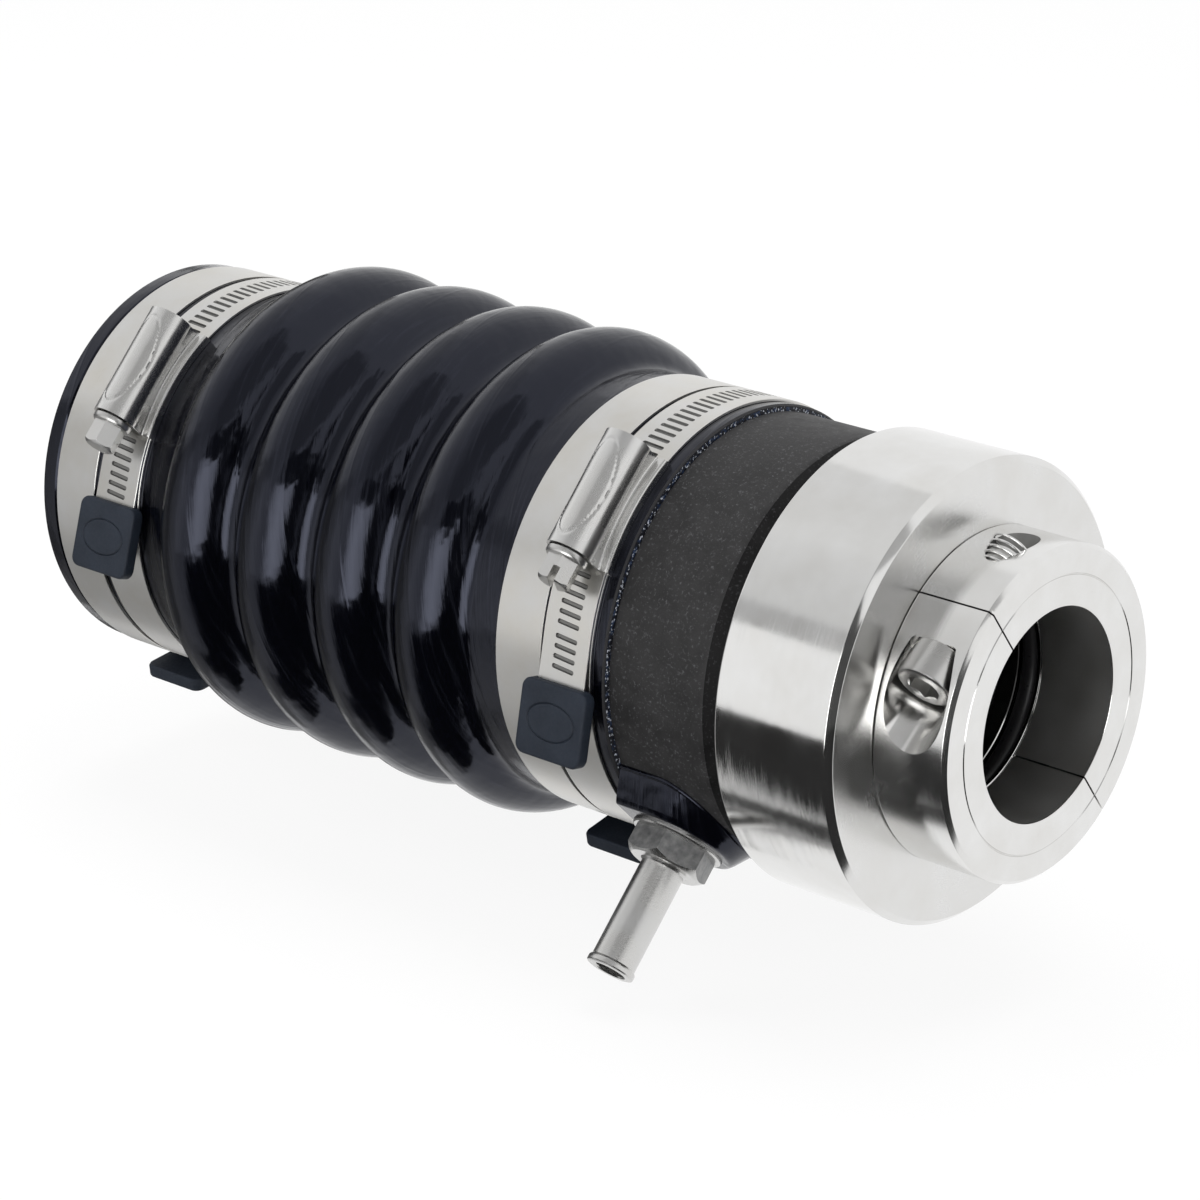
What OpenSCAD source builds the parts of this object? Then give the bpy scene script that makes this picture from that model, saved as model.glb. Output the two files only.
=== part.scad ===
// Dripless shaft seal: a silicone bellows on the stern tube carries a carbon ring,
// and a steel rotor that is locked to the propeller shaft by a split collar runs against it.
// The shaft lies along X. The origin is on its axis, at the outer face of the split collar,
// and the stern tube enters from the negative end. Roll angles turn about the shaft, from
// straight up towards negative Y.

/* [Shaft and stern tube] */
// Diameter of the propeller shaft
shaft_d = 44.45; // [40:0.05:50]
// Outside diameter of the stern tube
stern_tube_d = 76.2; // [72:0.1:80]

/* [Split collar] */
// Outside diameter of the collar
collar_d = 69.8; // [68:0.1:80]
// Width of the collar along the shaft
collar_w = 17.5; // [16:0.1:24]
// Bevel on the outer edges of the collar
collar_bevel = 0.9; // [0.3:0.1:1.5]
// Gap between the two halves
collar_gap = 0.4; // [0.2:0.1:1]
// Roll angle of the gap that faces the front
collar_turn = 37; // [0:1:90]
// Radius of the fine line turned into the collar's face
collar_line_r = 28.8; // [27:0.1:30]

/* [Collar screws] */
// Thread diameter of the collar screws
bolt_d = 7.94; // [6:0.01:8]
// Length of the collar screws under the head
bolt_l = 25.4; // [23:0.1:27]
// Diameter of the screw heads
bolt_head_d = 11.9; // [10:0.1:12.5]
// Height of the screw heads
bolt_head_h = 7.9; // [6:0.1:9]
// Width across the flats of the socket in the head
bolt_socket = 6.35; // [5:0.05:7]
// How far outside the middle of the collar's wall the screws sit
bolt_shift = 0.2; // [0:0.1:0.6]
// Depth of the solid under the head, from the split
bolt_seat = 8.8; // [7:0.1:10]
// Diameter of the round pocket that takes the head
bolt_pocket_d = 14.4; // [13:0.1:15]

/* [Rotor] */
// Outside diameter of the rotor
rotor_d = 97.2; // [94:0.1:110]
// Width of the rotor along the shaft
rotor_w = 28.5; // [26:0.1:40]
// Bevel on the rotor's front edge
rotor_bevel = 1.3; // [0.5:0.1:2]
// Radial clearance between rotor and shaft
rotor_clear = 0.25; // [0.2:0.01:0.4]
// Diameter of the two pins that drive the rotor
pin_d = 4.8; // [3:0.1:5]
// Depth of each pin in the rotor and in the collar
pin_depth = 8; // [5:0.5:10]

/* [O-rings] */
// Radial depth of the grooves
groove_depth = 2.7; // [1.8:0.1:2.8]
// Width of the grooves
groove_w = 4.6; // [4:0.1:5]
// Distance from the rotor's front face to the middle of the first groove
groove_first = 3.6; // [3.2:0.1:5]
// Distance between the middles of the grooves
groove_pitch = 9; // [6:0.1:12]

/* [Carbon ring] */
// Outside diameter of the carbon ring
carbon_d = 91; // [88:0.1:92]
// Bore of the carbon ring, clear of the shaft
carbon_bore_d = 48.4; // [46:0.1:52]
// Length of the carbon ring outside the hose
carbon_l = 30; // [29:0.5:40]
// Outside diameter of the running face
nose_d = 84; // [80:0.1:86]
// Length of the slope from the ring down to the nose
nose_l = 6; // [2:0.1:8]
// Inside diameter of the running face
nose_bore_d = 64; // [56:0.1:70]
// Depth of the recess inside the running face
nose_recess = 2; // [1:0.1:4]
// Outside diameter of the sleeve in the hose
sleeve_d = 80; // [78:0.1:82]
// Length of the sleeve in the hose
sleeve_l = 35; // [28:0.5:36]

/* [Water fitting] */
// Roll angle of the fitting
fitting_turn = 135; // [100:1:170]
// Distance from the middle of the fitting to the hose's end
fitting_x = 9.7; // [9.5:0.1:12]
// Rise of the pad's flat over the ring's outside
pad_rise = 3.3; // [2:0.1:6]
// Radius of the pad's flat
pad_r = 11.8; // [11:0.1:13]
// Radius of the pad's foot
pad_foot_r = 16.8; // [14:0.1:18]
// Diameter of the fitting's shoulder
shoulder_d = 20; // [18:0.1:22]
// Thickness of the shoulder
shoulder_t = 1.2; // [0.8:0.1:2]
// Width across the flats of the hexagon
hex_w = 15.9; // [14:0.1:17]
// Height of the hexagon
hex_h = 5.5; // [4:0.1:8]
// Diameter of the threaded stub in the pad
stub_d = 12; // [10:0.1:13]
// Length of the threaded stub
stub_l = 12.5; // [10:0.1:14]
// Outside diameter of the pipe
pipe_d = 9.5; // [8:0.1:11]
// Length of the pipe beyond the hexagon
pipe_l = 24.1; // [15:0.1:40]
// Bore of the pipe
pipe_bore_d = 6.5; // [4:0.1:7]
// Diameter of the bead at the pipe's end
bead_d = 10.4; // [10:0.1:12]
// Length of the bead
bead_l = 1.8; // [1:0.1:3]

/* [Bellows] */
// Outside diameter over the humps
hump_d = 107.2; // [102:0.1:112]
// Height of the humps above the hollows between them
hump_h = 7; // [5:0.1:9]
// Distance from hump to hump
hump_pitch = 23.2; // [20:0.1:28]
// Radius of the humps' crests, seen in section
hump_round = 9.5; // [8:0.1:10]
// Number of humps
hump_count = 4; // [2:1:6]
// Wall of the bellows at the humps
hose_wall = 4.9; // [3:0.1:6]
// Outside diameter of the cuff on the stern tube
cuff_in_d = 88.8; // [88:0.1:92]
// Length of the cuff on the stern tube
cuff_in_l = 39.9; // [38:0.1:50]
// Outside diameter of the cuff on the carbon ring
cuff_out_d = 93.4; // [92:0.1:96]
// Length of the cuff on the carbon ring
cuff_out_l = 36.3; // [36:0.1:50]
// Swell of the rim beyond the last clamp
rim_swell = 0.4; // [0:0.1:1]

/* [Hose clamps] */
// Width of a band
band_w = 12.2; // [10:0.1:12.5]
// Thickness of a band
band_t = 0.7; // [0.5:0.05:0.8]
// Rubber left showing between the clamps and the stern tube end
rim_in = 5; // [3:0.1:7]
// Rubber left showing between the clamps and the carbon ring
rim_out = 3.2; // [2:0.1:4]
// Gap between the two bands on the stern tube
band_gap_in = 2; // [1.6:0.1:4]
// Gap between the two bands on the carbon ring
band_gap_out = 1.1; // [1:0.1:2]
// Roll angle of the worm housings on the front side
clamp_turn_front = 46; // [30:1:60]
// Roll angle of the hidden worm housing on the stern tube
clamp_turn_back_in = 214; // [205:1:240]
// Roll angle of the hidden worm housing on the carbon ring
clamp_turn_back_out = 223; // [205:1:240]
// Length of a worm housing
housing_l = 26.4; // [24:0.1:30]
// Width of a worm housing
housing_w = 13.6; // [13:0.1:14]
// Outside diameter of the barrel round the worm
barrel_d = 10.6; // [10:0.1:11]
// Thickness of a housing's metal over the band
housing_t = 0.8; // [0.6:0.1:1.2]
// Diameter of the worm screw
worm_d = 7.6; // [7:0.1:8]
// Width across the flats of the screw's head
head_w = 7; // [6:0.1:8]
// Height of the screw's head
head_h = 5.4; // [4:0.1:7]
// Diameter of the collar under the head
flange_d = 9.8; // [8:0.1:10]
// Thickness of the collar under the head
flange_t = 1.7; // [1:0.1:2.5]
// Width of the slot across a slotted head
driver_slot_w = 1.5; // [0.8:0.1:1.8]
// Depth of the slot across a slotted head
driver_slot_depth = 3; // [1.5:0.1:3.6]
// Distance between the slots in a band
slot_pitch = 2.1; // [1.8:0.1:3]
// Length of a slot
slot_l = 5.8; // [4:0.1:8]
// Width of a slot
slot_w = 1; // [0.7:0.1:1.2]
// Angle by which the slots lean
slot_lean = 5; // [0:1:12]
// Depth to which the slots are pressed
slot_depth = 0.4; // [0.2:0.05:0.45]
// Number of slots on the worm's side of a band
slot_count = 36; // [10:1:45]

/* [Tail caps] */
// Width of a cap
cap_w = 17.2; // [15:0.1:18]
// Length of a cap
cap_l = 16; // [14:0.1:20]
// Thickness of a cap
cap_t = 3.2; // [2.8:0.1:4]
// Radius of a cap's corners
cap_round = 2.6; // [1:0.1:4]
// Roll angle from a housing to where its tail leaves the band, on the stern tube
tail_turn_in = 27.5; // [26:0.5:40]
// Roll angle from a housing to where its tail leaves the band, on the carbon ring
tail_turn_out = 33; // [26:0.5:40]
// Straight run of the tail before its cap, on the stern tube
tail_run_in = 7.3; // [6:0.1:14]
// Straight run of the tail before its cap, on the carbon ring
tail_run_out = 10.2; // [6:0.1:14]

/* [Hidden] */

$fn = 96;
eps = 0.01;
fit_clear = 0.05;

shaft_r = shaft_d / 2;
bolt_offset = (shaft_r + collar_d / 2) / 2 + bolt_shift;
rotor_front = -collar_w;
rotor_back = rotor_front - rotor_w;
hose_end = rotor_back - carbon_l;
pad_h = carbon_d / 2 + pad_rise;
rotor_bore_r = shaft_r + rotor_clear;
groove_r = rotor_bore_r + groove_depth;
ring_mid_r = (shaft_r + fit_clear + groove_r) / 2;
ring_half_h = (groove_r - shaft_r - fit_clear) / 2 - fit_clear / 2;
ring_half_w = groove_w * 0.42;
pin_r = (groove_r + collar_d / 2) / 2 - 1.2;

// The hump's section is two circles that meet on one slope.
hump_slope = 2 * atan(2 * hump_h / hump_pitch);
hollow_round = hump_pitch / 2 / sin(hump_slope) - hump_round;
hump_r = hump_d / 2;
hollow_r = hump_r - hump_h;
humps_end = hose_end - cuff_out_l;
humps_start = humps_end - hump_count * hump_pitch;
hose_start = humps_start - cuff_in_l;
cuff_in_r = cuff_in_d / 2;
cuff_out_r = cuff_out_d / 2;
cuff_taper = 6;

// Places of the four clamps: a and b on the stern tube, c and d on the carbon ring.
clamp_a_x = hose_start + rim_in + band_w / 2;
clamp_b_x = clamp_a_x + band_w + band_gap_in;
clamp_d_x = hose_end - rim_out - band_w / 2;
clamp_c_x = clamp_d_x - band_w - band_gap_out;
tail_clear = 0.12;
layer_gap = 0.05;
tail_skim = 0.02;
worm_lift = 2 * band_t + 0.2 + worm_d / 2;
barrel_bore_d = worm_d + 0.8;
slot_margin = 1.5;
rim_step = (housing_w - band_w) / 2 + 0.1;
cap_sink = 0.5;
cap_end_wall = 2;

// Turns a shape that is drawn upright, with its outward side on +Z, to a roll angle.
module roll(angle) {
    rotate([angle, 0, 0]) children();
}

// Spins an outline of [distance along X, radius] points about the shaft's axis.
module turned(points) {
    rotate([0, 90, 0]) rotate([0, 0, 90]) rotate_extrude()
        polygon([for (p = points) [p[1], p[0]]]);
}

// A round bar along X from one place to another.
module bar_x(from, to, radius) {
    translate([from, 0, 0]) rotate([0, 90, 0]) cylinder(h = to - from, r = radius);
}

// A rectangle with round corners, centred.
module round_rect(width, length, radius) {
    square([width - 2 * radius, length], center = true);
    square([width, length - 2 * radius], center = true);
    for (sx = [-1, 1], sy = [-1, 1])
        translate([sx * (width / 2 - radius), sy * (length / 2 - radius)]) circle(r = radius, $fn = 32);
}

// The section through the humps, at a depth of inset below the outer skin, as [radius, distance along X].
module hump_section(inset) {
    flank_r = hump_r - hump_round + (hump_round - inset) * cos(hump_slope);
    difference() {
        union() {
            translate([0, humps_start]) square([flank_r, humps_end - humps_start]);
            for (k = [0 : hump_count - 1])
                translate([hump_r - hump_round, humps_start + (k + 0.5) * hump_pitch])
                    circle(r = hump_round - inset, $fn = 24);
        }
        for (k = [0 : hump_count])
            translate([hollow_r + hollow_round, humps_start + k * hump_pitch])
                circle(r = hollow_round + inset, $fn = 24);
    }
}

module bellows() {
    seat_in = hose_start + rim_in - rim_step;
    seat_out = hose_end - rim_out + rim_step;
    rim_r = cuff_out_r + rim_swell / 2;
    tube_r = stern_tube_d / 2;
    ring_r = sleeve_d / 2 + fit_clear;
    core_r = ring_r - hose_wall;
    color([0.05, 0.05, 0.06]) rotate([0, 90, 0]) rotate([0, 0, 90]) rotate_extrude($fn = 48) difference() {
        union() {
            polygon([[core_r, hose_start], [cuff_in_r + rim_swell - 0.5, hose_start],
                [cuff_in_r + rim_swell, hose_start + 0.5], [cuff_in_r + rim_swell, seat_in - 0.5],
                [cuff_in_r, seat_in - 0.1], [cuff_in_r, humps_start - cuff_taper],
                [hollow_r, humps_start], [hollow_r, humps_start + 1], [core_r, humps_start + 1]]);
            hump_section(0);
            polygon([[core_r, humps_end - 1], [hollow_r, humps_end - 1], [hollow_r, humps_end],
                [cuff_out_r, humps_end + 1], [cuff_out_r, seat_out + 0.1], [rim_r, seat_out + 0.5],
                [rim_r, hose_end - 0.4], [rim_r - 0.4, hose_end], [core_r, hose_end]]);
        }
        polygon([[0, hose_start - 1], [tube_r, hose_start - 1], [tube_r, humps_start - cuff_taper],
            [hollow_r - hose_wall, humps_start], [0, humps_start]]);
        hump_section(hose_wall);
        polygon([[0, humps_end], [hollow_r - hose_wall, humps_end], [ring_r, humps_end + 1],
            [ring_r, hose_end + 1], [0, hose_end + 1]]);
    }
}

// The raised pad under the water fitting: round towards the rotor, straight towards the hose.
module pad() {
    low = carbon_d / 2 - 4.4;
    run = fitting_x - fit_clear - 0.2;
    intersection() {
        union() {
            translate([0, 0, low]) cylinder(h = pad_h - low, r1 = pad_foot_r, r2 = pad_r);
            translate([-run, 0, 0]) rotate([90, 0, 90]) linear_extrude(run) polygon([
                [0.05 - pad_foot_r, low], [pad_foot_r - 0.05, low],
                [pad_r - 0.05, pad_h - 0.05], [0.05 - pad_r, pad_h - 0.05]]);
        }
        translate([-run, -2 * pad_foot_r, 0]) cube([run + 2 * pad_foot_r, 4 * pad_foot_r, 2 * pad_h]);
    }
}

module carbon_stator() {
    shoulder = hose_end + fit_clear;
    outline = [
        [hose_end - sleeve_l, sleeve_d / 2 - 1], [hose_end - sleeve_l + 1, sleeve_d / 2],
        [shoulder, sleeve_d / 2], [shoulder, carbon_d / 2 - 0.4], [shoulder + 0.4, carbon_d / 2],
        [rotor_back - nose_l, carbon_d / 2], [rotor_back, nose_d / 2],
        [rotor_back, nose_bore_d / 2], [rotor_back - nose_recess, nose_bore_d / 2],
        [rotor_back - nose_recess, carbon_bore_d / 2], [hose_end - sleeve_l, carbon_bore_d / 2]];
    color([0.14, 0.14, 0.15]) difference() {
        union() {
            turned(outline);
            roll(fitting_turn) translate([hose_end + fitting_x, 0, 0]) pad();
        }
        roll(fitting_turn) translate([hose_end + fitting_x, 0, 0]) {
            translate([0, 0, carbon_bore_d / 2 - 2]) cylinder(h = pad_h, d = pipe_bore_d);
            translate([0, 0, pad_h - stub_l - 0.3]) cylinder(h = stub_l + 1, r = stub_d / 2 + fit_clear);
        }
    }
}

module water_fitting() {
    hex_top = shoulder_t + hex_h;
    tip = hex_top + pipe_l;
    color([0.8, 0.8, 0.82]) roll(fitting_turn) translate([hose_end + fitting_x, 0, pad_h]) difference() {
        union() {
            translate([0, 0, -stub_l]) cylinder(h = stub_l, d = stub_d);
            rotate_extrude() polygon([[0, 0], [shoulder_d / 2, 0], [shoulder_d / 2, shoulder_t - 0.2],
                [shoulder_d / 2 - 0.2, shoulder_t], [0, shoulder_t]]);
            intersection() {
                translate([0, 0, shoulder_t]) cylinder(h = hex_h, r = hex_w / sqrt(3), $fn = 6);
                translate([0, 0, shoulder_t])
                    cylinder(h = hex_h, r1 = hex_w / sqrt(3) + hex_h - 1, r2 = hex_w / sqrt(3) - 1);
            }
            rotate_extrude() polygon([[0, hex_top - 1], [pipe_d / 2, hex_top - 1],
                [pipe_d / 2, tip - bead_l], [bead_d / 2, tip - bead_l + 0.4],
                [bead_d / 2, tip - 0.3], [bead_d / 2 - 0.3, tip], [0, tip]]);
        }
        translate([0, 0, -stub_l - 1]) cylinder(h = tip + stub_l + 2, d = pipe_bore_d);
    }
}

function groove_x(index) = rotor_front - groove_first - index * groove_pitch;

module rotor() {
    outline = [
        [rotor_back, rotor_d / 2 - 0.5], [rotor_back + 0.5, rotor_d / 2],
        [rotor_front - rotor_bevel, rotor_d / 2], [rotor_front, rotor_d / 2 - rotor_bevel],
        [rotor_front, rotor_bore_r + 0.4], [rotor_front - 0.4, rotor_bore_r],
        [rotor_back + 0.8, rotor_bore_r], [rotor_back, rotor_bore_r + 0.8]];
    color([0.86, 0.86, 0.88]) difference() {
        turned(outline);
        for (k = [0, 1])
            translate([groove_x(k), 0, 0]) bar_x(-groove_w / 2, groove_w / 2, groove_r);
        for (side = [90, 270])
            roll(collar_turn + side) translate([0, 0, pin_r])
                bar_x(rotor_front - pin_depth - 0.3, rotor_front + 1, pin_d / 2 + fit_clear);
    }
}

// A rubber ring, squeezed between groove and shaft.
module o_ring(index) {
    color([0.04, 0.04, 0.05]) turned([for (a = [0 : 20 : 340])
        [groove_x(index) + ring_half_w * sin(a), ring_mid_r + ring_half_h * cos(a)]]);
}

module o_ring_front() { o_ring(0); }

module o_ring_rear() { o_ring(1); }

// The half that lies on the side of negative Y before it is rolled to its place.
module collar_half() {
    b = collar_bevel;
    outline = [
        [-collar_w + fit_clear, shaft_r], [-collar_w + fit_clear, collar_d / 2 - b / 2],
        [-collar_w + b / 2, collar_d / 2], [-b, collar_d / 2], [0, collar_d / 2 - b],
        [0, collar_line_r + 0.25], [-0.25, collar_line_r], [0, collar_line_r - 0.25], [0, shaft_r]];
    difference() {
        turned(outline);
        translate([-collar_w - 1, -collar_gap / 2, -collar_d]) cube([collar_w + 2, collar_d, 2 * collar_d]);
        translate([-collar_w / 2, -bolt_seat, bolt_offset]) rotate([90, 0, 0])
            cylinder(h = collar_d, d = bolt_pocket_d);
        translate([-collar_w / 2, 1, bolt_offset]) rotate([90, 0, 0])
            cylinder(h = bolt_seat + 2, d = bolt_d + 0.5);
        translate([-collar_w / 2, 1, -bolt_offset]) rotate([90, 0, 0])
            cylinder(h = collar_d, r = bolt_d / 2 + fit_clear);
        translate([0, -pin_r, 0]) bar_x(-collar_w - 1, -collar_w + pin_depth + 0.3, pin_d / 2 + fit_clear);
    }
}

module collar_half_lower() {
    color([0.85, 0.85, 0.87]) roll(collar_turn) collar_half();
}

module collar_half_upper() {
    color([0.85, 0.85, 0.87]) roll(collar_turn + 180) collar_half();
}

module collar_screw() {
    head_r = bolt_head_d / 2;
    color([0.75, 0.75, 0.77]) translate([-collar_w / 2, -bolt_seat, bolt_offset]) rotate([90, 0, 0])
        difference() {
            union() {
                translate([0, 0, fit_clear]) rotate_extrude() polygon([[0, 0], [head_r, 0],
                    [head_r, bolt_head_h - 0.6], [head_r - 0.6, bolt_head_h], [0, bolt_head_h]]);
                translate([0, 0, fit_clear + eps - bolt_l]) cylinder(h = bolt_l, d = bolt_d);
            }
            translate([0, 0, bolt_head_h * 0.48])
                cylinder(h = bolt_head_h, r = bolt_socket / sqrt(3), $fn = 6);
        }
}

module collar_screw_front() { roll(collar_turn) collar_screw(); }

module collar_screw_back() { roll(collar_turn + 180) collar_screw(); }

module drive_pin() {
    color([0.7, 0.7, 0.72]) translate([0, -pin_r, 0]) turned([
        [rotor_front - pin_depth, 0], [rotor_front - pin_depth, pin_d / 2 - 0.5],
        [rotor_front - pin_depth + 0.5, pin_d / 2], [rotor_front + pin_depth - 0.5, pin_d / 2],
        [rotor_front + pin_depth, pin_d / 2 - 0.5], [rotor_front + pin_depth, 0]]);
}

module drive_pin_lower() { roll(collar_turn) drive_pin(); }

module drive_pin_upper() { roll(collar_turn + 180) drive_pin(); }

// Puts a clamp that is drawn with its housing on top, and its tail towards negative Y, in its place.
module clamp_place(x, angle, flip) {
    translate([x, 0, 0]) roll(angle) rotate([0, 0, flip ? 180 : 0]) children();
}

// One slanted slot, pressed into the band's outside at the top.
module band_slot(radius) {
    translate([0, 0, radius - slot_depth]) rotate([0, 0, -slot_lean]) linear_extrude(slot_depth + 1)
        square([slot_l, slot_w], center = true);
}

// Part of a ring, as wide as the band, between two roll angles.
module band_arc(inner_r, outer_r, from, to) {
    reach = 2 * outer_r;
    intersection() {
        difference() {
            bar_x(-band_w / 2, band_w / 2, outer_r);
            bar_x(-band_w, band_w, inner_r);
        }
        rotate([0, 90, 0]) translate([0, 0, -band_w]) linear_extrude(2 * band_w)
            polygon([[0, 0], [-reach, -reach * tan(from)], [-reach, -reach * tan(to)]]);
    }
}

// The band goes once round, then a second layer leaves the housing and runs straight into the cap.
module band(seat_r, tail_turn, tail_run) {
    outer_r = seat_r + band_t;
    tail_in_r = outer_r + layer_gap;
    tail_r = tail_in_r + band_t;
    housing_half = asin(housing_l / 2 / outer_r);
    slot_step = slot_pitch / outer_r * 180 / PI;
    first = housing_half + slot_margin;
    tail_slots = 1 + floor((tail_turn - first - slot_step / 4) / slot_step);
    last = first + (tail_slots - 1) * slot_step;
    run = cap_gap(seat_r, tail_run);
    run_first = max(0.8 * slot_w, slot_pitch - (tail_turn - last) * outer_r * PI / 180);
    run_slots = 1 + floor((run - run_first - slot_w) / slot_pitch);
    tail_l = run + cap_l - cap_end_wall;
    color([0.78, 0.78, 0.79]) difference() {
        union() {
            difference() {
                bar_x(-band_w / 2, band_w / 2, outer_r);
                bar_x(-band_w, band_w, seat_r + eps);
            }
            band_arc(tail_in_r, tail_r, 0, tail_turn);
            band_arc(seat_r + band_t / 2, tail_in_r + band_t / 2, 1, 5);
            roll(tail_turn) translate([-band_w / 2, -tail_l, tail_in_r + tail_skim])
                cube([band_w, tail_l + 0.3, band_t - 2 * tail_skim]);
        }
        for (k = [0 : slot_count - 1])
            roll(-first - k * slot_step) band_slot(outer_r);
        for (k = [0 : tail_slots - 1])
            roll(first + k * slot_step) band_slot(tail_r);
        for (k = [0 : run_slots - 1])
            roll(tail_turn) translate([0, -run_first - k * slot_pitch, 0]) band_slot(tail_r);
    }
}

// How far beyond the tail's parting point a cap starts, clear of the band below it.
function cap_gap(seat_r, tail_run) =
    let (r = seat_r + band_t) max(tail_run, sqrt(r * r - pow(r - cap_sink - fit_clear, 2)) + 0.3);

module tail_cap(seat_r, tail_turn, tail_run) {
    run = cap_gap(seat_r, tail_run);
    tail_in_r = seat_r + band_t + layer_gap;
    color([0.06, 0.07, 0.08]) roll(tail_turn) difference() {
        translate([0, -run - cap_l / 2, seat_r + band_t - cap_sink])
            linear_extrude(cap_t) round_rect(cap_w, cap_l, cap_round);
        translate([-band_w / 2 - fit_clear, -run - cap_l + cap_end_wall - fit_clear, tail_in_r - fit_clear])
            cube([band_w + 2 * fit_clear, cap_l + 2, band_t + 2 * fit_clear]);
    }
}

module housing(seat_r) {
    channel_r = seat_r + 2 * band_t + tail_clear;
    flange_r = channel_r + housing_t;
    axis_h = seat_r + worm_lift;
    half_angle = asin(housing_l / 2 / flange_r);
    color([0.82, 0.82, 0.83]) difference() {
        intersection() {
            union() {
                bar_x(-housing_w / 2, housing_w / 2, flange_r);
                translate([0, housing_l / 2, 0]) rotate([90, 0, 0]) linear_extrude(housing_l) {
                    translate([0, axis_h]) circle(d = barrel_d);
                    translate([-barrel_d / 2, seat_r - 2]) square([barrel_d, axis_h - seat_r + 2]);
                }
            }
            translate([-housing_w, -housing_l / 2, seat_r / 2])
                cube([2 * housing_w, housing_l, seat_r]);
        }
        bar_x(-housing_w, housing_w, seat_r + fit_clear);
        bar_x(-band_w / 2 - 0.1, band_w / 2 + 0.1, channel_r);
        translate([0, housing_l, axis_h]) rotate([90, 0, 0]) cylinder(h = 2 * housing_l, d = barrel_bore_d);
        translate([-barrel_bore_d / 2 + 0.6, -housing_l, seat_r])
            cube([barrel_bore_d - 1.2, 2 * housing_l, axis_h - seat_r]);
    }
}

module worm_screw(seat_r, slotted) {
    color([0.74, 0.74, 0.76]) translate([0, 0, seat_r + worm_lift]) rotate([90, 0, 0]) difference() {
        union() {
            translate([0, 0, -housing_l / 2 + 0.5]) cylinder(h = housing_l - 0.2, d = worm_d);
            translate([0, 0, housing_l / 2 + 0.2]) cylinder(h = flange_t, d = flange_d);
            intersection() {
                translate([0, 0, housing_l / 2 + 0.2 + flange_t - eps])
                    cylinder(h = head_h, r = head_w / sqrt(3), $fn = 6);
                translate([0, 0, housing_l / 2 + 0.2 + flange_t - eps])
                    cylinder(h = head_h, r1 = head_w / sqrt(3) + head_h - 0.7, r2 = head_w / sqrt(3) - 0.7);
            }
        }
        if (slotted)
            translate([-driver_slot_w / 2, -head_w, housing_l / 2 + flange_t + head_h - driver_slot_depth])
                cube([driver_slot_w, 2 * head_w, driver_slot_depth + 1]);
    }
}

module clamp_a_band() {
    clamp_place(clamp_a_x, clamp_turn_back_in, true) band(cuff_in_r, tail_turn_in, tail_run_in);
}
module clamp_a_housing() { clamp_place(clamp_a_x, clamp_turn_back_in, true) housing(cuff_in_r); }
module clamp_a_screw() { clamp_place(clamp_a_x, clamp_turn_back_in, true) worm_screw(cuff_in_r, false); }
module clamp_a_tail_cap() {
    clamp_place(clamp_a_x, clamp_turn_back_in, true) tail_cap(cuff_in_r, tail_turn_in, tail_run_in);
}

module clamp_b_band() {
    clamp_place(clamp_b_x, clamp_turn_front, false) band(cuff_in_r, tail_turn_in, tail_run_in);
}
module clamp_b_housing() { clamp_place(clamp_b_x, clamp_turn_front, false) housing(cuff_in_r); }
module clamp_b_screw() { clamp_place(clamp_b_x, clamp_turn_front, false) worm_screw(cuff_in_r, false); }
module clamp_b_tail_cap() {
    clamp_place(clamp_b_x, clamp_turn_front, false) tail_cap(cuff_in_r, tail_turn_in, tail_run_in);
}

module clamp_c_band() {
    clamp_place(clamp_c_x, clamp_turn_back_out, true) band(cuff_out_r, tail_turn_out, tail_run_out);
}
module clamp_c_housing() { clamp_place(clamp_c_x, clamp_turn_back_out, true) housing(cuff_out_r); }
module clamp_c_screw() { clamp_place(clamp_c_x, clamp_turn_back_out, true) worm_screw(cuff_out_r, true); }
module clamp_c_tail_cap() {
    clamp_place(clamp_c_x, clamp_turn_back_out, true) tail_cap(cuff_out_r, tail_turn_out, tail_run_out);
}

module clamp_d_band() {
    clamp_place(clamp_d_x, clamp_turn_front, false) band(cuff_out_r, tail_turn_out, tail_run_out);
}
module clamp_d_housing() { clamp_place(clamp_d_x, clamp_turn_front, false) housing(cuff_out_r); }
module clamp_d_screw() { clamp_place(clamp_d_x, clamp_turn_front, false) worm_screw(cuff_out_r, true); }
module clamp_d_tail_cap() {
    clamp_place(clamp_d_x, clamp_turn_front, false) tail_cap(cuff_out_r, tail_turn_out, tail_run_out);
}

bellows();
carbon_stator();
water_fitting();
rotor();
o_ring_front();
o_ring_rear();
collar_half_lower();
collar_half_upper();
collar_screw_front();
collar_screw_back();
drive_pin_lower();
drive_pin_upper();
clamp_a_band();
clamp_a_housing();
clamp_a_screw();
clamp_a_tail_cap();
clamp_b_band();
clamp_b_housing();
clamp_b_screw();
clamp_b_tail_cap();
clamp_c_band();
clamp_c_housing();
clamp_c_screw();
clamp_c_tail_cap();
clamp_d_band();
clamp_d_housing();
clamp_d_screw();
clamp_d_tail_cap();
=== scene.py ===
"""Dresses a dripless shaft seal: a glossy bellows held by four worm-drive hose clamps, a carbon ring with a
water fitting, and a polished rotor that a split collar locks to the propeller shaft.

The shaft lies along X. The origin is on its axis at the outer face of the collar, and the stern tube is at
the negative end. Sizes are in millimetres and the meshes in metres. Roll angles are in degrees and turn about
the shaft, from straight up towards negative Y.
"""

from __future__ import annotations

import logging
import math
from dataclasses import dataclass, field
from enum import Enum
from typing import Protocol, Sequence

import bmesh
import bpy
from mathutils import Matrix, Vector

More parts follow.
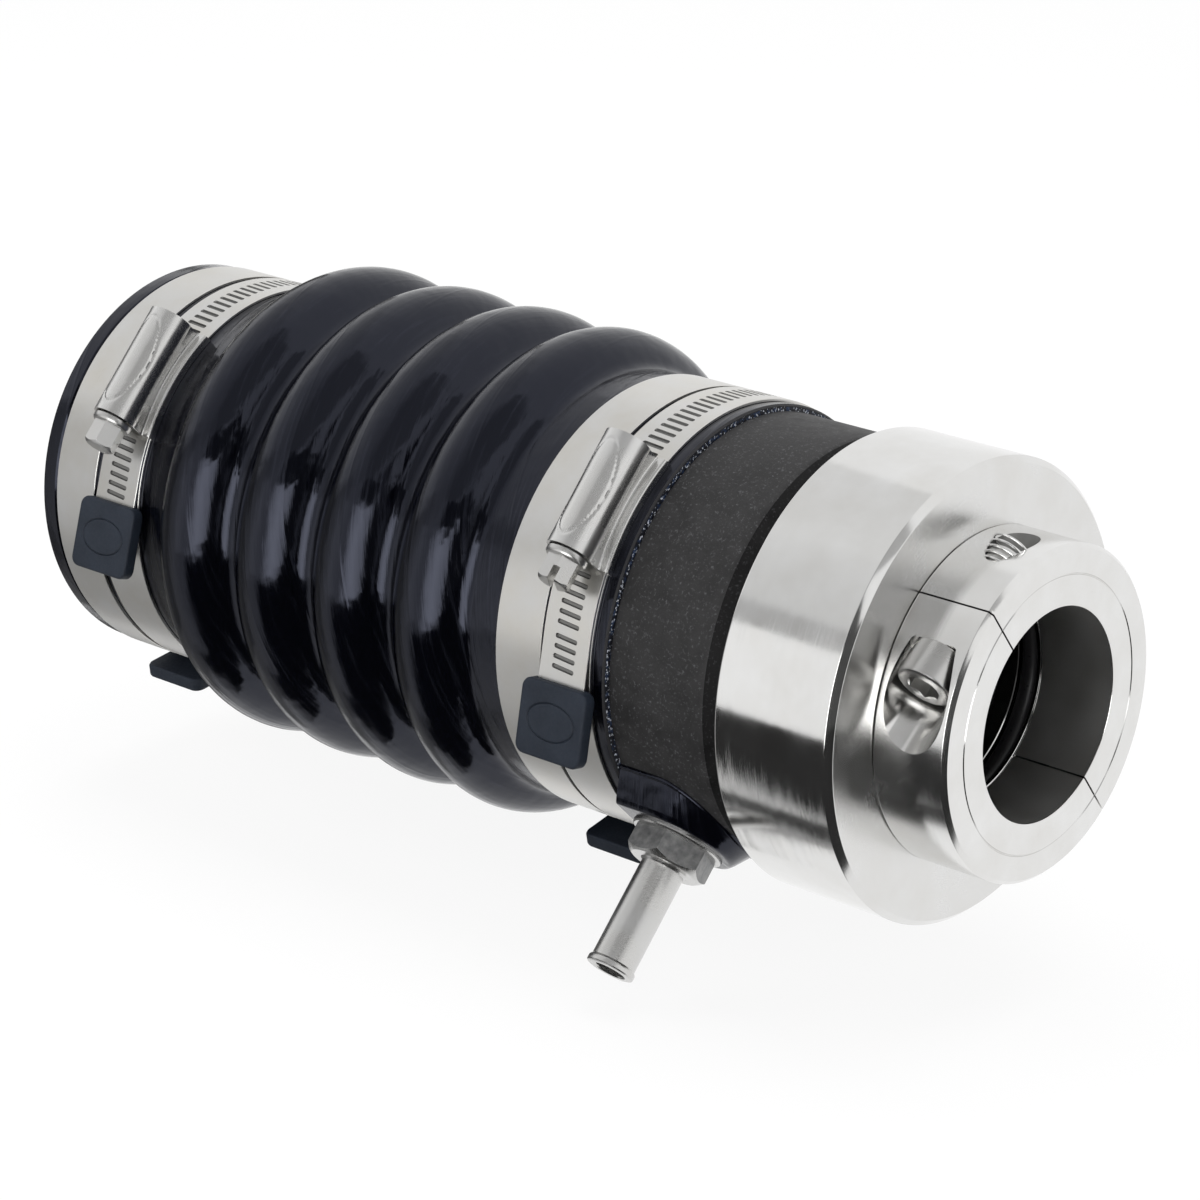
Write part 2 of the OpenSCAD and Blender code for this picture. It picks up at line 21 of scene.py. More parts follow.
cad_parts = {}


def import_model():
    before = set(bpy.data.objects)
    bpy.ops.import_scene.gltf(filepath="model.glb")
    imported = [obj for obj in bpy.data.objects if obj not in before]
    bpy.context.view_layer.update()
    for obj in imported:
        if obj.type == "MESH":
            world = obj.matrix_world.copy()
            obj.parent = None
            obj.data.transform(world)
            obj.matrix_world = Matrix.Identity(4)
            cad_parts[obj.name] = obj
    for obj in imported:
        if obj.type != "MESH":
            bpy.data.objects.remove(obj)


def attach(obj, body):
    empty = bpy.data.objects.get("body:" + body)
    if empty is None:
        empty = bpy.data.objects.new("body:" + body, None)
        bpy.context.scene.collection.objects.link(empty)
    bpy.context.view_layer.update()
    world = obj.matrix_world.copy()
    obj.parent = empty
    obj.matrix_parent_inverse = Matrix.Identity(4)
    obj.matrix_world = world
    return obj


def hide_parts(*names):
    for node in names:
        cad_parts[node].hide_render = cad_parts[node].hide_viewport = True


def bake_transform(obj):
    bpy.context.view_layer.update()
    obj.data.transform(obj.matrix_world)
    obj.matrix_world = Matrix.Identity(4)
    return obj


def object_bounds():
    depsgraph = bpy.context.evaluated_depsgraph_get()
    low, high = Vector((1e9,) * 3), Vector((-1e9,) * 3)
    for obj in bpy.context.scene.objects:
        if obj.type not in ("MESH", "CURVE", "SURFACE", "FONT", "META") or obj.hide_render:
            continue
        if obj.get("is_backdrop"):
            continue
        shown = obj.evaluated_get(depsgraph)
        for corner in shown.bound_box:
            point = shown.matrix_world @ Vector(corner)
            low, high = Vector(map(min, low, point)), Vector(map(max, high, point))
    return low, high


log = logging.getLogger("shaft_seal")

MM = 0.001
ROUND_STEPS = 224

Point = tuple[float, float]
Point3 = tuple[float, float, float]


class Side(Enum):
    """Where a clamp's worm housing sits, as a roll angle."""

    FRONT = 46.0
    BACK_OF_TUBE = 214.0
    BACK_OF_RING = 223.0


class HeadShape(Enum):
    """The drive of a worm screw's head."""

    PLAIN_HEX = "plain"
    SLOTTED_HEX = "slotted"


class Assembly(Protocol):
    """A part of the seal that makes its own finished pieces."""

    def build(self) -> list[bpy.types.Object]:
        """Makes the finished pieces."""


class Boolean(Enum):
    """How one solid changes another."""

    CUT = "DIFFERENCE"
    ADD = "UNION"
    KEEP_COMMON = "INTERSECT"


# Meshes


def roll_matrix(angle: float, along: float = 0.0) -> Matrix:
    """Makes the matrix that rolls a piece about the shaft and slides it along the shaft.

    Args:
        angle: Roll angle in degrees.
        along: Distance along X in millimetres.

    Returns:
        A 4x4 matrix in metres.
    """
    return Matrix.Translation((along * MM, 0.0, 0.0)) @ Matrix.Rotation(math.radians(angle), 4, "X")


def add_object(name: str, mesh: bpy.types.Mesh) -> bpy.types.Object:
    """Links a mesh to the scene as an object at the origin.

    Args:
        name: Name of the object and of its mesh.
        mesh: The finished mesh.

    Returns:
        The new object.
    """
    mesh.name = name
    made = bpy.data.objects.new(name, mesh)
    bpy.context.scene.collection.objects.link(made)
    return made


def mesh_from(bm: bmesh.types.BMesh, name: str, merge: float = 1e-7) -> bpy.types.Mesh:
    """Merges doubles, turns the faces outwards and stores the result.

    Args:
        bm: The mesh being built. It is freed.
        name: Name of the new mesh.
        merge: Merge distance in metres.

    Returns:
        The new mesh.
    """
    bmesh.ops.remove_doubles(bm, verts=bm.verts, dist=merge)
    bmesh.ops.recalc_face_normals(bm, faces=bm.faces)
    mesh = bpy.data.meshes.new(name)
    bm.to_mesh(mesh)
    bm.free()
    return mesh


def bake(piece: bpy.types.Object) -> bpy.types.Object:
    """Replaces an object's mesh by its modifiers' result and removes the modifiers.

    Args:
        piece: The object to make plain.

    Returns:
        The same object.
    """
    graph = bpy.context.evaluated_depsgraph_get()
    graph.update()
    result = bpy.data.meshes.new_from_object(
        piece.evaluated_get(graph), preserve_all_data_layers=True, depsgraph=graph
    )
    old = piece.data
    piece.modifiers.clear()
    result.name = piece.name
    piece.data = result
    bpy.data.meshes.remove(old)
    return piece


def combine(piece: bpy.types.Object, other: bpy.types.Object, how: Boolean) -> bpy.types.Object:
    """Cuts, adds or intersects one solid with another, which is used up.

    Args:
        piece: The solid that stays.
        other: The solid that is removed afterwards.
        how: What is done.

    Returns:
        The changed object.
    """
    modifier = piece.modifiers.new("Boolean", "BOOLEAN")
    modifier.operation = how.value
    modifier.solver = "EXACT"
    modifier.object = other
    bake(piece)
    used = other.data
    bpy.data.objects.remove(other)
    bpy.data.meshes.remove(used)
    return piece


def soften(piece: bpy.types.Object, width: float, steps: int = 2, angle: float = 30.0) -> bpy.types.Object:
    """Rounds every sharp edge of a piece.

    Args:
        piece: The object.
        width: Size of the rounding in millimetres.
        steps: Number of faces across the rounding.
        angle: Edges sharper than this, in degrees, are rounded.

    Returns:
        The same object.
    """
    modifier = piece.modifiers.new("Bevel", "BEVEL")
    modifier.width = width * MM
    modifier.segments = steps
    modifier.limit_method = "ANGLE"
    modifier.angle_limit = math.radians(angle)
    modifier.use_clamp_overlap = True
    modifier.miter_outer = "MITER_ARC"
    return bake(piece)


def shade(piece: bpy.types.Object, angle: float = 32.0) -> bpy.types.Object:
    """Shades a piece smoothly, except across sharp edges, and keeps its large faces flat.

    Args:
        piece: The object.
        angle: Edges sharper than this, in degrees, stay sharp.

    Returns:
        The same object.
    """
    piece.data.shade_smooth()
    piece.data.set_sharp_from_angle(angle=math.radians(angle))
    modifier = piece.modifiers.new("Flat faces", "WEIGHTED_NORMAL")
    modifier.mode = "FACE_AREA"
    modifier.weight = 80
    modifier.keep_sharp = True
    return bake(piece)


def lathe(
    name: str, outline: Sequence[Point], steps: int = ROUND_STEPS, closed: bool = True
) -> bpy.types.Object:
    """Spins an outline about the shaft's axis.

    Args:
        name: Name of the piece.
        outline: Points of [distance along X, radius] in millimetres.
        steps: Number of faces round the axis.
        closed: True if the last point joins the first.

    Returns:
        The new object.
    """
    bm = bmesh.new()
    rings: list[list[bmesh.types.BMVert]] = []
    for along, radius in outline:
        if radius < 1e-6:
            rings.append([bm.verts.new((along * MM, 0.0, 0.0))] * steps)
            continue
        rings.append([
            bm.verts.new((
                along * MM,
                -radius * MM * math.sin(math.tau * k / steps),
                radius * MM * math.cos(math.tau * k / steps),
            ))
            for k in range(steps)
        ])
    count = len(rings)
    for i in range(count if closed else count - 1):
        low, high = rings[i], rings[(i + 1) % count]
        for k in range(steps):
            corners = [low[k], high[k], high[(k + 1) % steps], low[(k + 1) % steps]]
            unique = list(dict.fromkeys(corners))
            if len(unique) > 2:
                bm.faces.new(unique)
    return add_object(name, mesh_from(bm, name))


def sweep(name: str, sections: Sequence[Sequence[Point3]]) -> bpy.types.Object:
    """Joins closed sections of equal length into one solid with closed ends.

    Args:
        name: Name of the piece.
        sections: Loops of points in millimetres, one for each place along the path.

    Returns:
        The new object.
    """
    bm = bmesh.new()
    loops = [[bm.verts.new(Vector(p) * MM) for p in section] for section in sections]
    size = len(loops[0])
    for low, high in zip(loops, loops[1:]):
        for k in range(size):
            bm.faces.new([low[k], high[k], high[(k + 1) % size], low[(k + 1) % size]])
    bm.faces.new(loops[0])
    bm.faces.new(list(reversed(loops[-1])))
    return add_object(name, mesh_from(bm, name))


def prism(name: str, outline: Sequence[Point], low: float, high: float) -> bpy.types.Object:
    """Raises a flat outline along Z.

    Args:
        name: Name of the piece.
        outline: Points of [x, y] in millimetres.
        low: Height of the bottom.
        high: Height of the top.

    Returns:
        The new object.
    """
    return sweep(name, [[(x, y, low) for x, y in outline], [(x, y, high) for x, y in outline]])


def stand(outline: Sequence[Point], name: str, steps: int = 64) -> bpy.types.Object:
    """Spins an outline about Z instead of the shaft's axis.

    Args:
        outline: Points of [height, radius] in millimetres.
        name: Name of the piece.
        steps: Number of faces round the axis.

    Returns:
        The new object, upright on Z.
    """
    piece = lathe(name, outline, steps)
    piece.data.transform(Matrix.Rotation(math.radians(-90), 4, "Y"))
    return piece


def regular(corners: int, radius: float, start: float = 0.0) -> list[Point]:
    """Lists the corners of a regular polygon.

    Args:
        corners: Number of corners.
        radius: Distance of a corner from the middle.
        start: Angle of the first corner in degrees.

    Returns:
        The corners as [x, y].
    """
    turn = math.radians(start)
    return [
        (radius * math.cos(turn + math.tau * k / corners), radius * math.sin(turn + math.tau * k / corners))
        for k in range(corners)
    ]


def round_corners(width: float, length: float, radius: float, steps: int = 6, sides: int = 1) -> list[Point]:
    """Lists the outline of a rectangle with round corners.

    Args:
        width: Size along x.
        length: Size along y.
        radius: Radius of the corners.
        steps: Number of spans in each corner.
        sides: Number of spans in each straight side.

    Returns:
        The outline as [x, y].
    """
    corners: list[list[Point]] = []
    for turn, sx, sy in ((0, 1, 1), (90, -1, 1), (180, -1, -1), (270, 1, -1)):
        angles = [math.radians(turn + 90 * k / steps) for k in range(steps + 1)]
        corners.append([(
            sx * (width / 2 - radius) + radius * math.cos(angle),
            sy * (length / 2 - radius) + radius * math.sin(angle),
        ) for angle in angles])
    outline: list[Point] = []
    for corner, following in zip(corners, corners[1:] + corners[:1]):
        (x, y), (u, v) = corner[-1], following[0]
        outline += corner + [(x + (u - x) * k / sides, y + (v - y) * k / sides) for k in range(1, sides)]
    return outline


def tongue(radius: float, run: float, steps: int = 48) -> list[Point]:
    """Lists the outline of a tongue: half a circle towards positive x, with straight sides behind it.

    Args:
        radius: Radius of the round end.
        run: Length of the straight sides.
        steps: Number of spans in the round end.

    Returns:
        The outline as [x, y].
    """
    angles = [math.radians(-90 + 180 * k / steps) for k in range(steps + 1)]
    return [(radius * math.cos(a), radius * math.sin(a)) for a in angles] + [(-run, radius), (-run, -radius)]


def arc(centre: Point, radius: float, start: float, end: float, steps: int) -> list[Point]:
    """Lists points on an arc in the plane of [distance along X, radius].

    Args:
        centre: Middle of the arc.
        radius: Radius; a negative one bends the arc the other way.
        start: First angle in degrees, counted from straight out.
        end: Last angle in degrees.
        steps: Number of spans.

    Returns:
        The points from start to end.
    """
    angles = [math.radians(start + (end - start) * k / steps) for k in range(steps + 1)]
    return [(centre[0] + radius * math.sin(a), centre[1] + radius * math.cos(a)) for a in angles]


# Geometry node trees


class GeometryTree:
    """Builds one Geometry Nodes tree with named inputs and runs it on an object."""

    def __init__(self, name: str, inputs: dict[str, tuple[str, object]]) -> None:
        """Starts the tree.

        Args:
            name: Name of the tree.
            inputs: Name of each input, with its socket type and its value.
        """
        self.tree = bpy.data.node_groups.new(name, "GeometryNodeTree")
        self.values = {key: value for key, (_, value) in inputs.items()}
        face = self.tree.interface
        face.new_socket("Geometry", in_out="INPUT", socket_type="NodeSocketGeometry")
        face.new_socket("Geometry", in_out="OUTPUT", socket_type="NodeSocketGeometry")
        self.identifiers = {
            key: face.new_socket(key, in_out="INPUT", socket_type=kind).identifier
            for key, (kind, _) in inputs.items()
        }
        self.start = self.tree.nodes.new("NodeGroupInput")
        self.end = self.tree.nodes.new("NodeGroupOutput")

    def add(self, kind: str, wires: dict[str, object] | None = None, **settings: object) -> bpy.types.Node:
        """Adds a node.

        Args:
            kind: Blender's name of the node type.
            wires: Input name to a socket or a plain value.
            **settings: Properties of the node.

        Returns:
            The new node.
        """
        made = self.tree.nodes.new(kind)
        for key, value in settings.items():
            setattr(made, key, value)
        for key, value in (wires or {}).items():
            socket = made.inputs[key]
            if isinstance(value, bpy.types.NodeSocket):
                self.tree.links.new(value, socket)
            else:
                socket.default_value = value
        return made

    def run(self, piece: bpy.types.Object, result: bpy.types.NodeSocket) -> bpy.types.Object:
        """Ends the tree in Realize Instances and Set Material, and bakes it into an object.

        Args:
            piece: The object that the tree changes.
            result: The socket that holds the geometry.

        Returns:
            The same object with a plain mesh.
        """
        real = self.add("GeometryNodeRealizeInstances", {"Geometry": result})
        merged = self.add("GeometryNodeMergeByDistance", {"Geometry": real.outputs[0], "Distance": 2e-6})
        painted = self.add(
            "GeometryNodeSetMaterial",
            {"Geometry": merged.outputs[0], "Material": self.start.outputs["Material"]},
        )
        self.tree.links.new(painted.outputs[0], self.end.inputs[0])
        modifier = piece.modifiers.new(self.tree.name, "NODES")
        modifier.node_group = self.tree
        for key, value in self.values.items():
            modifier[self.identifiers[key]] = value
        bake(piece)
        bpy.data.node_groups.remove(self.tree)
        return piece


def repeat_along(
    piece: bpy.types.Object, count: int, offset: Point3, material: bpy.types.Material
) -> bpy.types.Object:
    """Repeats a piece in a straight row.

    Args:
        piece: The piece to repeat, drawn at its first place.
        count: Number of copies.
        offset: Step from copy to copy in millimetres.
        material: Material of the copies.

    Returns:
        The same object, holding all copies.
    """
    tree = GeometryTree("Repeat in a row", {
        "Count": ("NodeSocketInt", count),
        "Offset": ("NodeSocketVector", tuple(part * MM for part in offset)),
        "Material": ("NodeSocketMaterial", material),
    })
    ins = tree.start.outputs
    row = tree.add("GeometryNodeMeshLine", {"Count": ins["Count"], "Offset": ins["Offset"]})
    copies = tree.add("GeometryNodeInstanceOnPoints", {"Points": row.outputs[0], "Instance": ins["Geometry"]})
    return tree.run(piece, copies.outputs[0])


def thread(
    name: str, radius: float, pitch: float, length: float, depth: float, material: bpy.types.Material
) -> bpy.types.Object:
    """Winds a thread's ridge about Z, from height 0 upwards.

    Args:
        name: Name of the piece.
        radius: Radius of the ridge's middle line in millimetres.
        pitch: Distance between turns.
        length: Length of the threaded part.
        depth: Radius of the ridge's own section.
        material: Material of the thread.

    Returns:
        The new object.
    """
    piece = add_object(name, bpy.data.meshes.new(name))
    tree = GeometryTree("Wind a thread", {
        "Radius": ("NodeSocketFloat", radius * MM),
        "Turns": ("NodeSocketFloat", length / pitch),
        "Length": ("NodeSocketFloat", length * MM),
        "Depth": ("NodeSocketFloat", depth * MM),
        "Material": ("NodeSocketMaterial", material),
    })
    ins = tree.start.outputs
    spiral = tree.add("GeometryNodeCurveSpiral", {
        "Resolution": 40, "Rotations": ins["Turns"], "Start Radius": ins["Radius"],
        "End Radius": ins["Radius"], "Height": ins["Length"],
    })
    section = tree.add("GeometryNodeCurvePrimitiveCircle", {"Resolution": 6, "Radius": ins["Depth"]})
    ridge = tree.add("GeometryNodeCurveToMesh", {
        "Curve": spiral.outputs[0], "Profile Curve": section.outputs[0], "Fill Caps": True,
    })
    tree.run(piece, ridge.outputs[0])
    bm = bmesh.new()
    bm.from_mesh(piece.data)
    bmesh.ops.recalc_face_normals(bm, faces=bm.faces)
    bm.to_mesh(piece.data)
    bm.free()
    return piece


# Materials


class Shader:
    """Builds the nodes of one material round a Principled shader."""

    def __init__(self, name: str) -> None:
        """Starts an empty material.

        Args:
            name: Name of the material.
        """
        self.material = bpy.data.materials.new(name)
        self.material.use_nodes = True
        self.nodes = self.material.node_tree.nodes
        self.links = self.material.node_tree.links
        self.nodes.clear()
        self.surface = self.nodes.new("ShaderNodeBsdfPrincipled")
        self.end = self.nodes.new("ShaderNodeOutputMaterial")
        self.links.new(self.surface.outputs[0], self.end.inputs[0])
        self.place = self.nodes.new("ShaderNodeTexCoord").outputs["Object"]

    def put(self, socket: bpy.types.NodeSocket, value: object) -> None:
        """Links a socket to another, or sets its value."""
        if isinstance(value, bpy.types.NodeSocket):
            self.links.new(value, socket)
        else:
            socket.default_value = value

    def add(
        self, kind: str, wires: dict[str | int, object] | None = None, **settings: object
    ) -> bpy.types.Node:
        """Adds a node.

        Args:
            kind: Blender's name of the node type.
            wires: Input name or number to a socket or a plain value.
            **settings: Properties of the node.

        Returns:
            The new node.
        """
        made = self.nodes.new(kind)
        for key, value in settings.items():
            setattr(made, key, value)
        for key, value in (wires or {}).items():
            self.put(made.inputs[key], value)
        return made

    def math(self, operation: str, first: object, second: object = 0.0) -> bpy.types.NodeSocket:
        """Adds a Math node and returns its result."""
        return self.add("ShaderNodeMath", {0: first, 1: second}, operation=operation).outputs[0]

    def axes(self) -> tuple[bpy.types.NodeSocket, bpy.types.NodeSocket, bpy.types.NodeSocket]:
        """Splits the place on the object into its three axes."""
        split = self.add("ShaderNodeSeparateXYZ", {0: self.place})
        return split.outputs[0], split.outputs[1], split.outputs[2]

    def radius(self) -> bpy.types.NodeSocket:
        """Gives the distance from the shaft's axis."""
        _, y, z = self.axes()
        return self.math("SQRT", self.math("ADD", self.math("MULTIPLY", y, y), self.math("MULTIPLY", z, z)))

    def noise(
        self, scale: float, detail: float = 3.0, roughness: float = 0.5, place: object = None
    ) -> bpy.types.NodeSocket:
        """Gives a noise value.

        Args:
            scale: Waves per metre.
            detail: Number of finer layers.
            roughness: Strength of the finer layers.
            place: Where the pattern is read; the object's own place if left out.

        Returns:
            The noise value, from 0 to 1.
        """
        wires = {"Vector": place or self.place, "Scale": scale, "Detail": detail, "Roughness": roughness}
        return self.add("ShaderNodeTexNoise", wires).outputs[0]

    def ramp(
        self, value: object, low: float, high: float, start: float = 0.0, end: float = 1.0
    ) -> bpy.types.NodeSocket:
        """Maps a range onto another and clamps it.

        Args:
            value: The value to map.
            low: Where the range starts.
            high: Where the range ends.
            start: Result at low.
            end: Result at high.

        Returns:
            The mapped value.
        """
        made = self.add("ShaderNodeMapRange", {0: value, 1: low, 2: high, 3: start, 4: end})
        return made.outputs[0]

    def blend(self, share: object, first: object, second: object) -> bpy.types.NodeSocket:
        """Mixes two colours.

        Args:
            share: Share of the second colour.
            first: First colour.
            second: Second colour.

        Returns:
            The mixed colour.
        """
        made = self.add("ShaderNodeMix", data_type="RGBA")
        self.put(made.inputs["Factor"], share)
        self.put(made.inputs[6], first)
        self.put(made.inputs[7], second)
        return made.outputs[2]

    def bump(
        self, height: object, strength: float, depth: float, under: object = None
    ) -> bpy.types.NodeSocket:
        """Turns a height into a bumped normal.

        Args:
            height: Height from 0 to 1.
            strength: Strength of the effect.
            depth: Depth of the bumps in metres.
            under: A normal that this one is laid on.

        Returns:
            The normal.
        """
        wires: dict[str | int, object] = {"Height": height, "Strength": strength, "Distance": depth}
        if under is not None:
            wires["Normal"] = under
        return self.add("ShaderNodeBump", wires).outputs[0]


def rgb(red: float, green: float, blue: float) -> tuple[float, float, float, float]:
    """Gives an opaque colour."""
    return (red, green, blue, 1.0)


@dataclass(frozen=True)
class Steel:
    """Stainless steel with the marks of the tool that made it."""

    name: str
    tone: float = 0.62
    warmth: float = 0.012
    roughness: float = 0.16
    spread: float = 0.07
    line_pitch: float = 0.16
    line_depth: float = 0.012
    turned: bool = True
    stretch: float = 0.55
    cloud: float = 95.0
    contrast: float = 0.07
    grain: float = 0.25
    ripple: float = 0.0
    ripple_pitch: float = 5.0

    def build(self) -> bpy.types.Material:
        """Makes the material.

        Returns:
            A metal with fine lines: rings if it was turned, lengthwise ones if it was rolled.
        """
        s = Shader(self.name)
        x, _, _ = s.axes()
        across = s.math("ADD", x, s.radius()) if self.turned else x
        lines = s.add("ShaderNodeTexNoise", {
            "W": s.math("MULTIPLY", across, 1.0 / (self.line_pitch * MM)), "Scale": 1.0, "Detail": 2.0,
        }, noise_dimensions="1D").outputs[0]
        smear = s.noise(self.cloud, 4.0, 0.55)
        fine = s.noise(1400.0, 2.0)
        shine = s.math("ADD", s.ramp(smear, 0.3, 0.7, self.roughness, self.roughness + self.spread),
                       s.math("MULTIPLY", lines, self.spread * 0.6))
        s.put(s.surface.inputs["Roughness"], shine)
        tone = self.tone
        s.put(s.surface.inputs["Base Color"], s.blend(
            s.ramp(smear, 0.25, 0.75),
            rgb(tone, tone - self.warmth * 0.6, tone - self.warmth * 2),
            rgb(tone + self.contrast, tone + self.contrast, tone + self.contrast - 0.005),
        ))
        s.surface.inputs["Metallic"].default_value = 1.0
        s.surface.inputs["Anisotropic"].default_value = self.stretch
        tangent = s.add("ShaderNodeTangent", direction_type="RADIAL", axis="X")
        s.put(s.surface.inputs["Tangent"], tangent.outputs[0])
        tooled = s.bump(s.math("ADD", lines, s.math("MULTIPLY", fine, self.grain)), 0.5, self.line_depth * MM)
        if self.ripple:
            wave = s.add("ShaderNodeTexNoise", {
                "W": s.math("MULTIPLY", across, 1.0 / (self.ripple_pitch * MM)), "Scale": 1.0, "Detail": 1.0,
            }, noise_dimensions="1D").outputs[0]
            tooled = s.bump(wave, 1.0, self.ripple * MM, tooled)
        s.put(s.surface.inputs["Normal"], tooled)
        return s.material


@dataclass(frozen=True)
class Silicone:
    """Black silicone with a wet gloss and the marks of the tape that it was wrapped in."""

    name: str
    wrap_turns: int = 3
    wrap_pitch: float = 19.0
    streak_slant: float = 0.17
    streak_across: float = 1100.0
    streak_along: float = 38.0

    def build(self) -> bpy.types.Material:
        """Makes the material.

        Returns:
            A near-black, wet-looking rubber with slanting wrap marks and fine streaks.
        """
        s = Shader(self.name)
        x, y, z = s.axes()
        turn = s.math("ARCTAN2", y, z)
        phase = s.math("ADD", s.math("MULTIPLY", x, math.tau / (self.wrap_pitch * MM)),
                       s.math("MULTIPLY", turn, float(self.wrap_turns)))
        wobble = s.math("MULTIPLY", s.noise(14.0, 2.0), 2.4)
        wrap = s.math("ABSOLUTE", s.math("SINE", s.math("ADD", phase, wobble)))
        edge = s.ramp(wrap, 0.0, 0.14, 1.0, 0.0)
        slanted = s.math("ADD", x, s.math("MULTIPLY", z, self.streak_slant))
        stretched = s.add("ShaderNodeCombineXYZ", {
            0: s.math("MULTIPLY", slanted, self.streak_across),
            1: s.math("MULTIPLY", y, self.streak_along),
            2: s.math("MULTIPLY", z, self.streak_along),
        }).outputs[0]
        streak = s.noise(1.0, 5.0, 0.65, stretched)
        lumps = s.noise(120.0, 2.0)
        faint = s.math("MULTIPLY", s.ramp(streak, 0.56, 0.74), 0.5)
        s.put(s.surface.inputs["Base Color"], s.blend(
            faint, rgb(0.0006, 0.0007, 0.0018), rgb(0.014, 0.015, 0.022)))
        s.put(s.surface.inputs["Roughness"], s.ramp(streak, 0.35, 0.72, 0.05, 0.20))
        s.surface.inputs["Specular IOR Level"].default_value = 0.45
        s.surface.inputs["Specular Tint"].default_value = rgb(0.72, 0.77, 1.0)
        uneven = s.bump(lumps, 0.35, 0.7 * MM)
        marked = s.bump(s.math("ADD", s.math("MULTIPLY", edge, 0.5), streak), 0.45, 0.14 * MM, uneven)
        s.put(s.surface.inputs["Normal"], marked)
        return s.material


@dataclass(frozen=True)
class CutHose:
    """The cut end of the hose, where its blue and white reinforcing fabric shows in the black."""

    name: str
    fabric_from: float = 43.9
    fabric_to: float = 46.3

    def build(self) -> bpy.types.Material:
        """Makes the material.

        Returns:
            Rough black rubber with a speckled ring.
        """
        s = Shader(self.name)
        far = s.math("DIVIDE", s.radius(), MM)
        inside = s.math("MULTIPLY", s.math("GREATER_THAN", far, self.fabric_from),
                        s.math("LESS_THAN", far, self.fabric_to))
        threads = s.noise(620.0, 3.0, 0.75)
        bits = s.noise(1500.0, 2.0, 0.6)
        blue = s.blend(s.ramp(threads, 0.50, 0.60), rgb(0.006, 0.007, 0.012), rgb(0.018, 0.036, 0.085))
        white = s.blend(s.ramp(bits, 0.585, 0.615), blue, rgb(0.66, 0.70, 0.78))
        s.put(s.surface.inputs["Base Color"], s.blend(inside, rgb(0.010, 0.010, 0.012), white))
        s.surface.inputs["Roughness"].default_value = 0.62
        s.put(s.surface.inputs["Normal"], s.bump(threads, 0.8, 0.25 * MM))
        return s.material


@dataclass(frozen=True)
class Graphite:
    """Machined carbon graphite: matt, mottled and very slightly ringed."""

    name: str
    # A tone under 1 darkens the colour and lowers the shine; the nose uses it for painted shade.
    tone: float = 1.0

    def build(self) -> bpy.types.Material:
        """Makes the material.

        Returns:
            A dark, rough, softly mottled carbon.
        """
        s = Shader(self.name)
        cloud = s.noise(210.0, 4.0, 0.6)
        grain = s.noise(1500.0, 3.0, 0.7)
        x, _, _ = s.axes()
        rings = s.add("ShaderNodeTexNoise", {
            "W": s.math("MULTIPLY", s.math("ADD", x, s.radius()), 1.0 / (0.22 * MM)), "Scale": 1.0,
        }, noise_dimensions="1D").outputs[0]
        low, high = 0.0125 * self.tone, 0.021 * self.tone
        base = s.blend(
            s.ramp(cloud, 0.35, 0.65), rgb(low, low * 0.98, low * 1.02), rgb(high, high * 0.98, high * 1.01))
        s.put(s.surface.inputs["Base Color"], s.blend(
            s.math("MULTIPLY", s.ramp(grain, 0.56, 0.72), 0.7 * self.tone), base, rgb(0.085, 0.085, 0.09)))
        s.put(s.surface.inputs["Roughness"], s.ramp(cloud, 0.3, 0.7, 0.48, 0.66))
        s.surface.inputs["Specular IOR Level"].default_value = 0.28 * self.tone
        rough = s.bump(grain, 0.45, 0.06 * MM)
        s.put(s.surface.inputs["Normal"], s.bump(rings, 0.25, 0.02 * MM, rough))
        return s.material


@dataclass(frozen=True)
class MouldedRubber:
    """Plain moulded rubber with a fine grain."""

    name: str
    colour: tuple[float, float, float] = (0.009, 0.013, 0.021)
    roughness: float = 0.6
    grain: float = 1500.0
    depth: float = 0.05

    def build(self) -> bpy.types.Material:
        """Makes the material.

        Returns:
            A dull rubber whose tone and shine vary a little.
        """
        s = Shader(self.name)
        cloud = s.noise(160.0, 3.0)
        grain = s.noise(self.grain, 3.0, 0.65)
        red, green, blue = self.colour
        s.put(s.surface.inputs["Base Color"], s.blend(
            s.ramp(cloud, 0.3, 0.7), rgb(red, green, blue), rgb(red * 1.5, green * 1.45, blue * 1.4)))
        s.put(s.surface.inputs["Roughness"], s.ramp(
            grain, 0.3, 0.7, self.roughness - 0.08, self.roughness + 0.1))
        s.surface.inputs["Specular IOR Level"].default_value = 0.3
        s.put(s.surface.inputs["Normal"], s.bump(grain, 0.5, self.depth * MM))
        return s.material


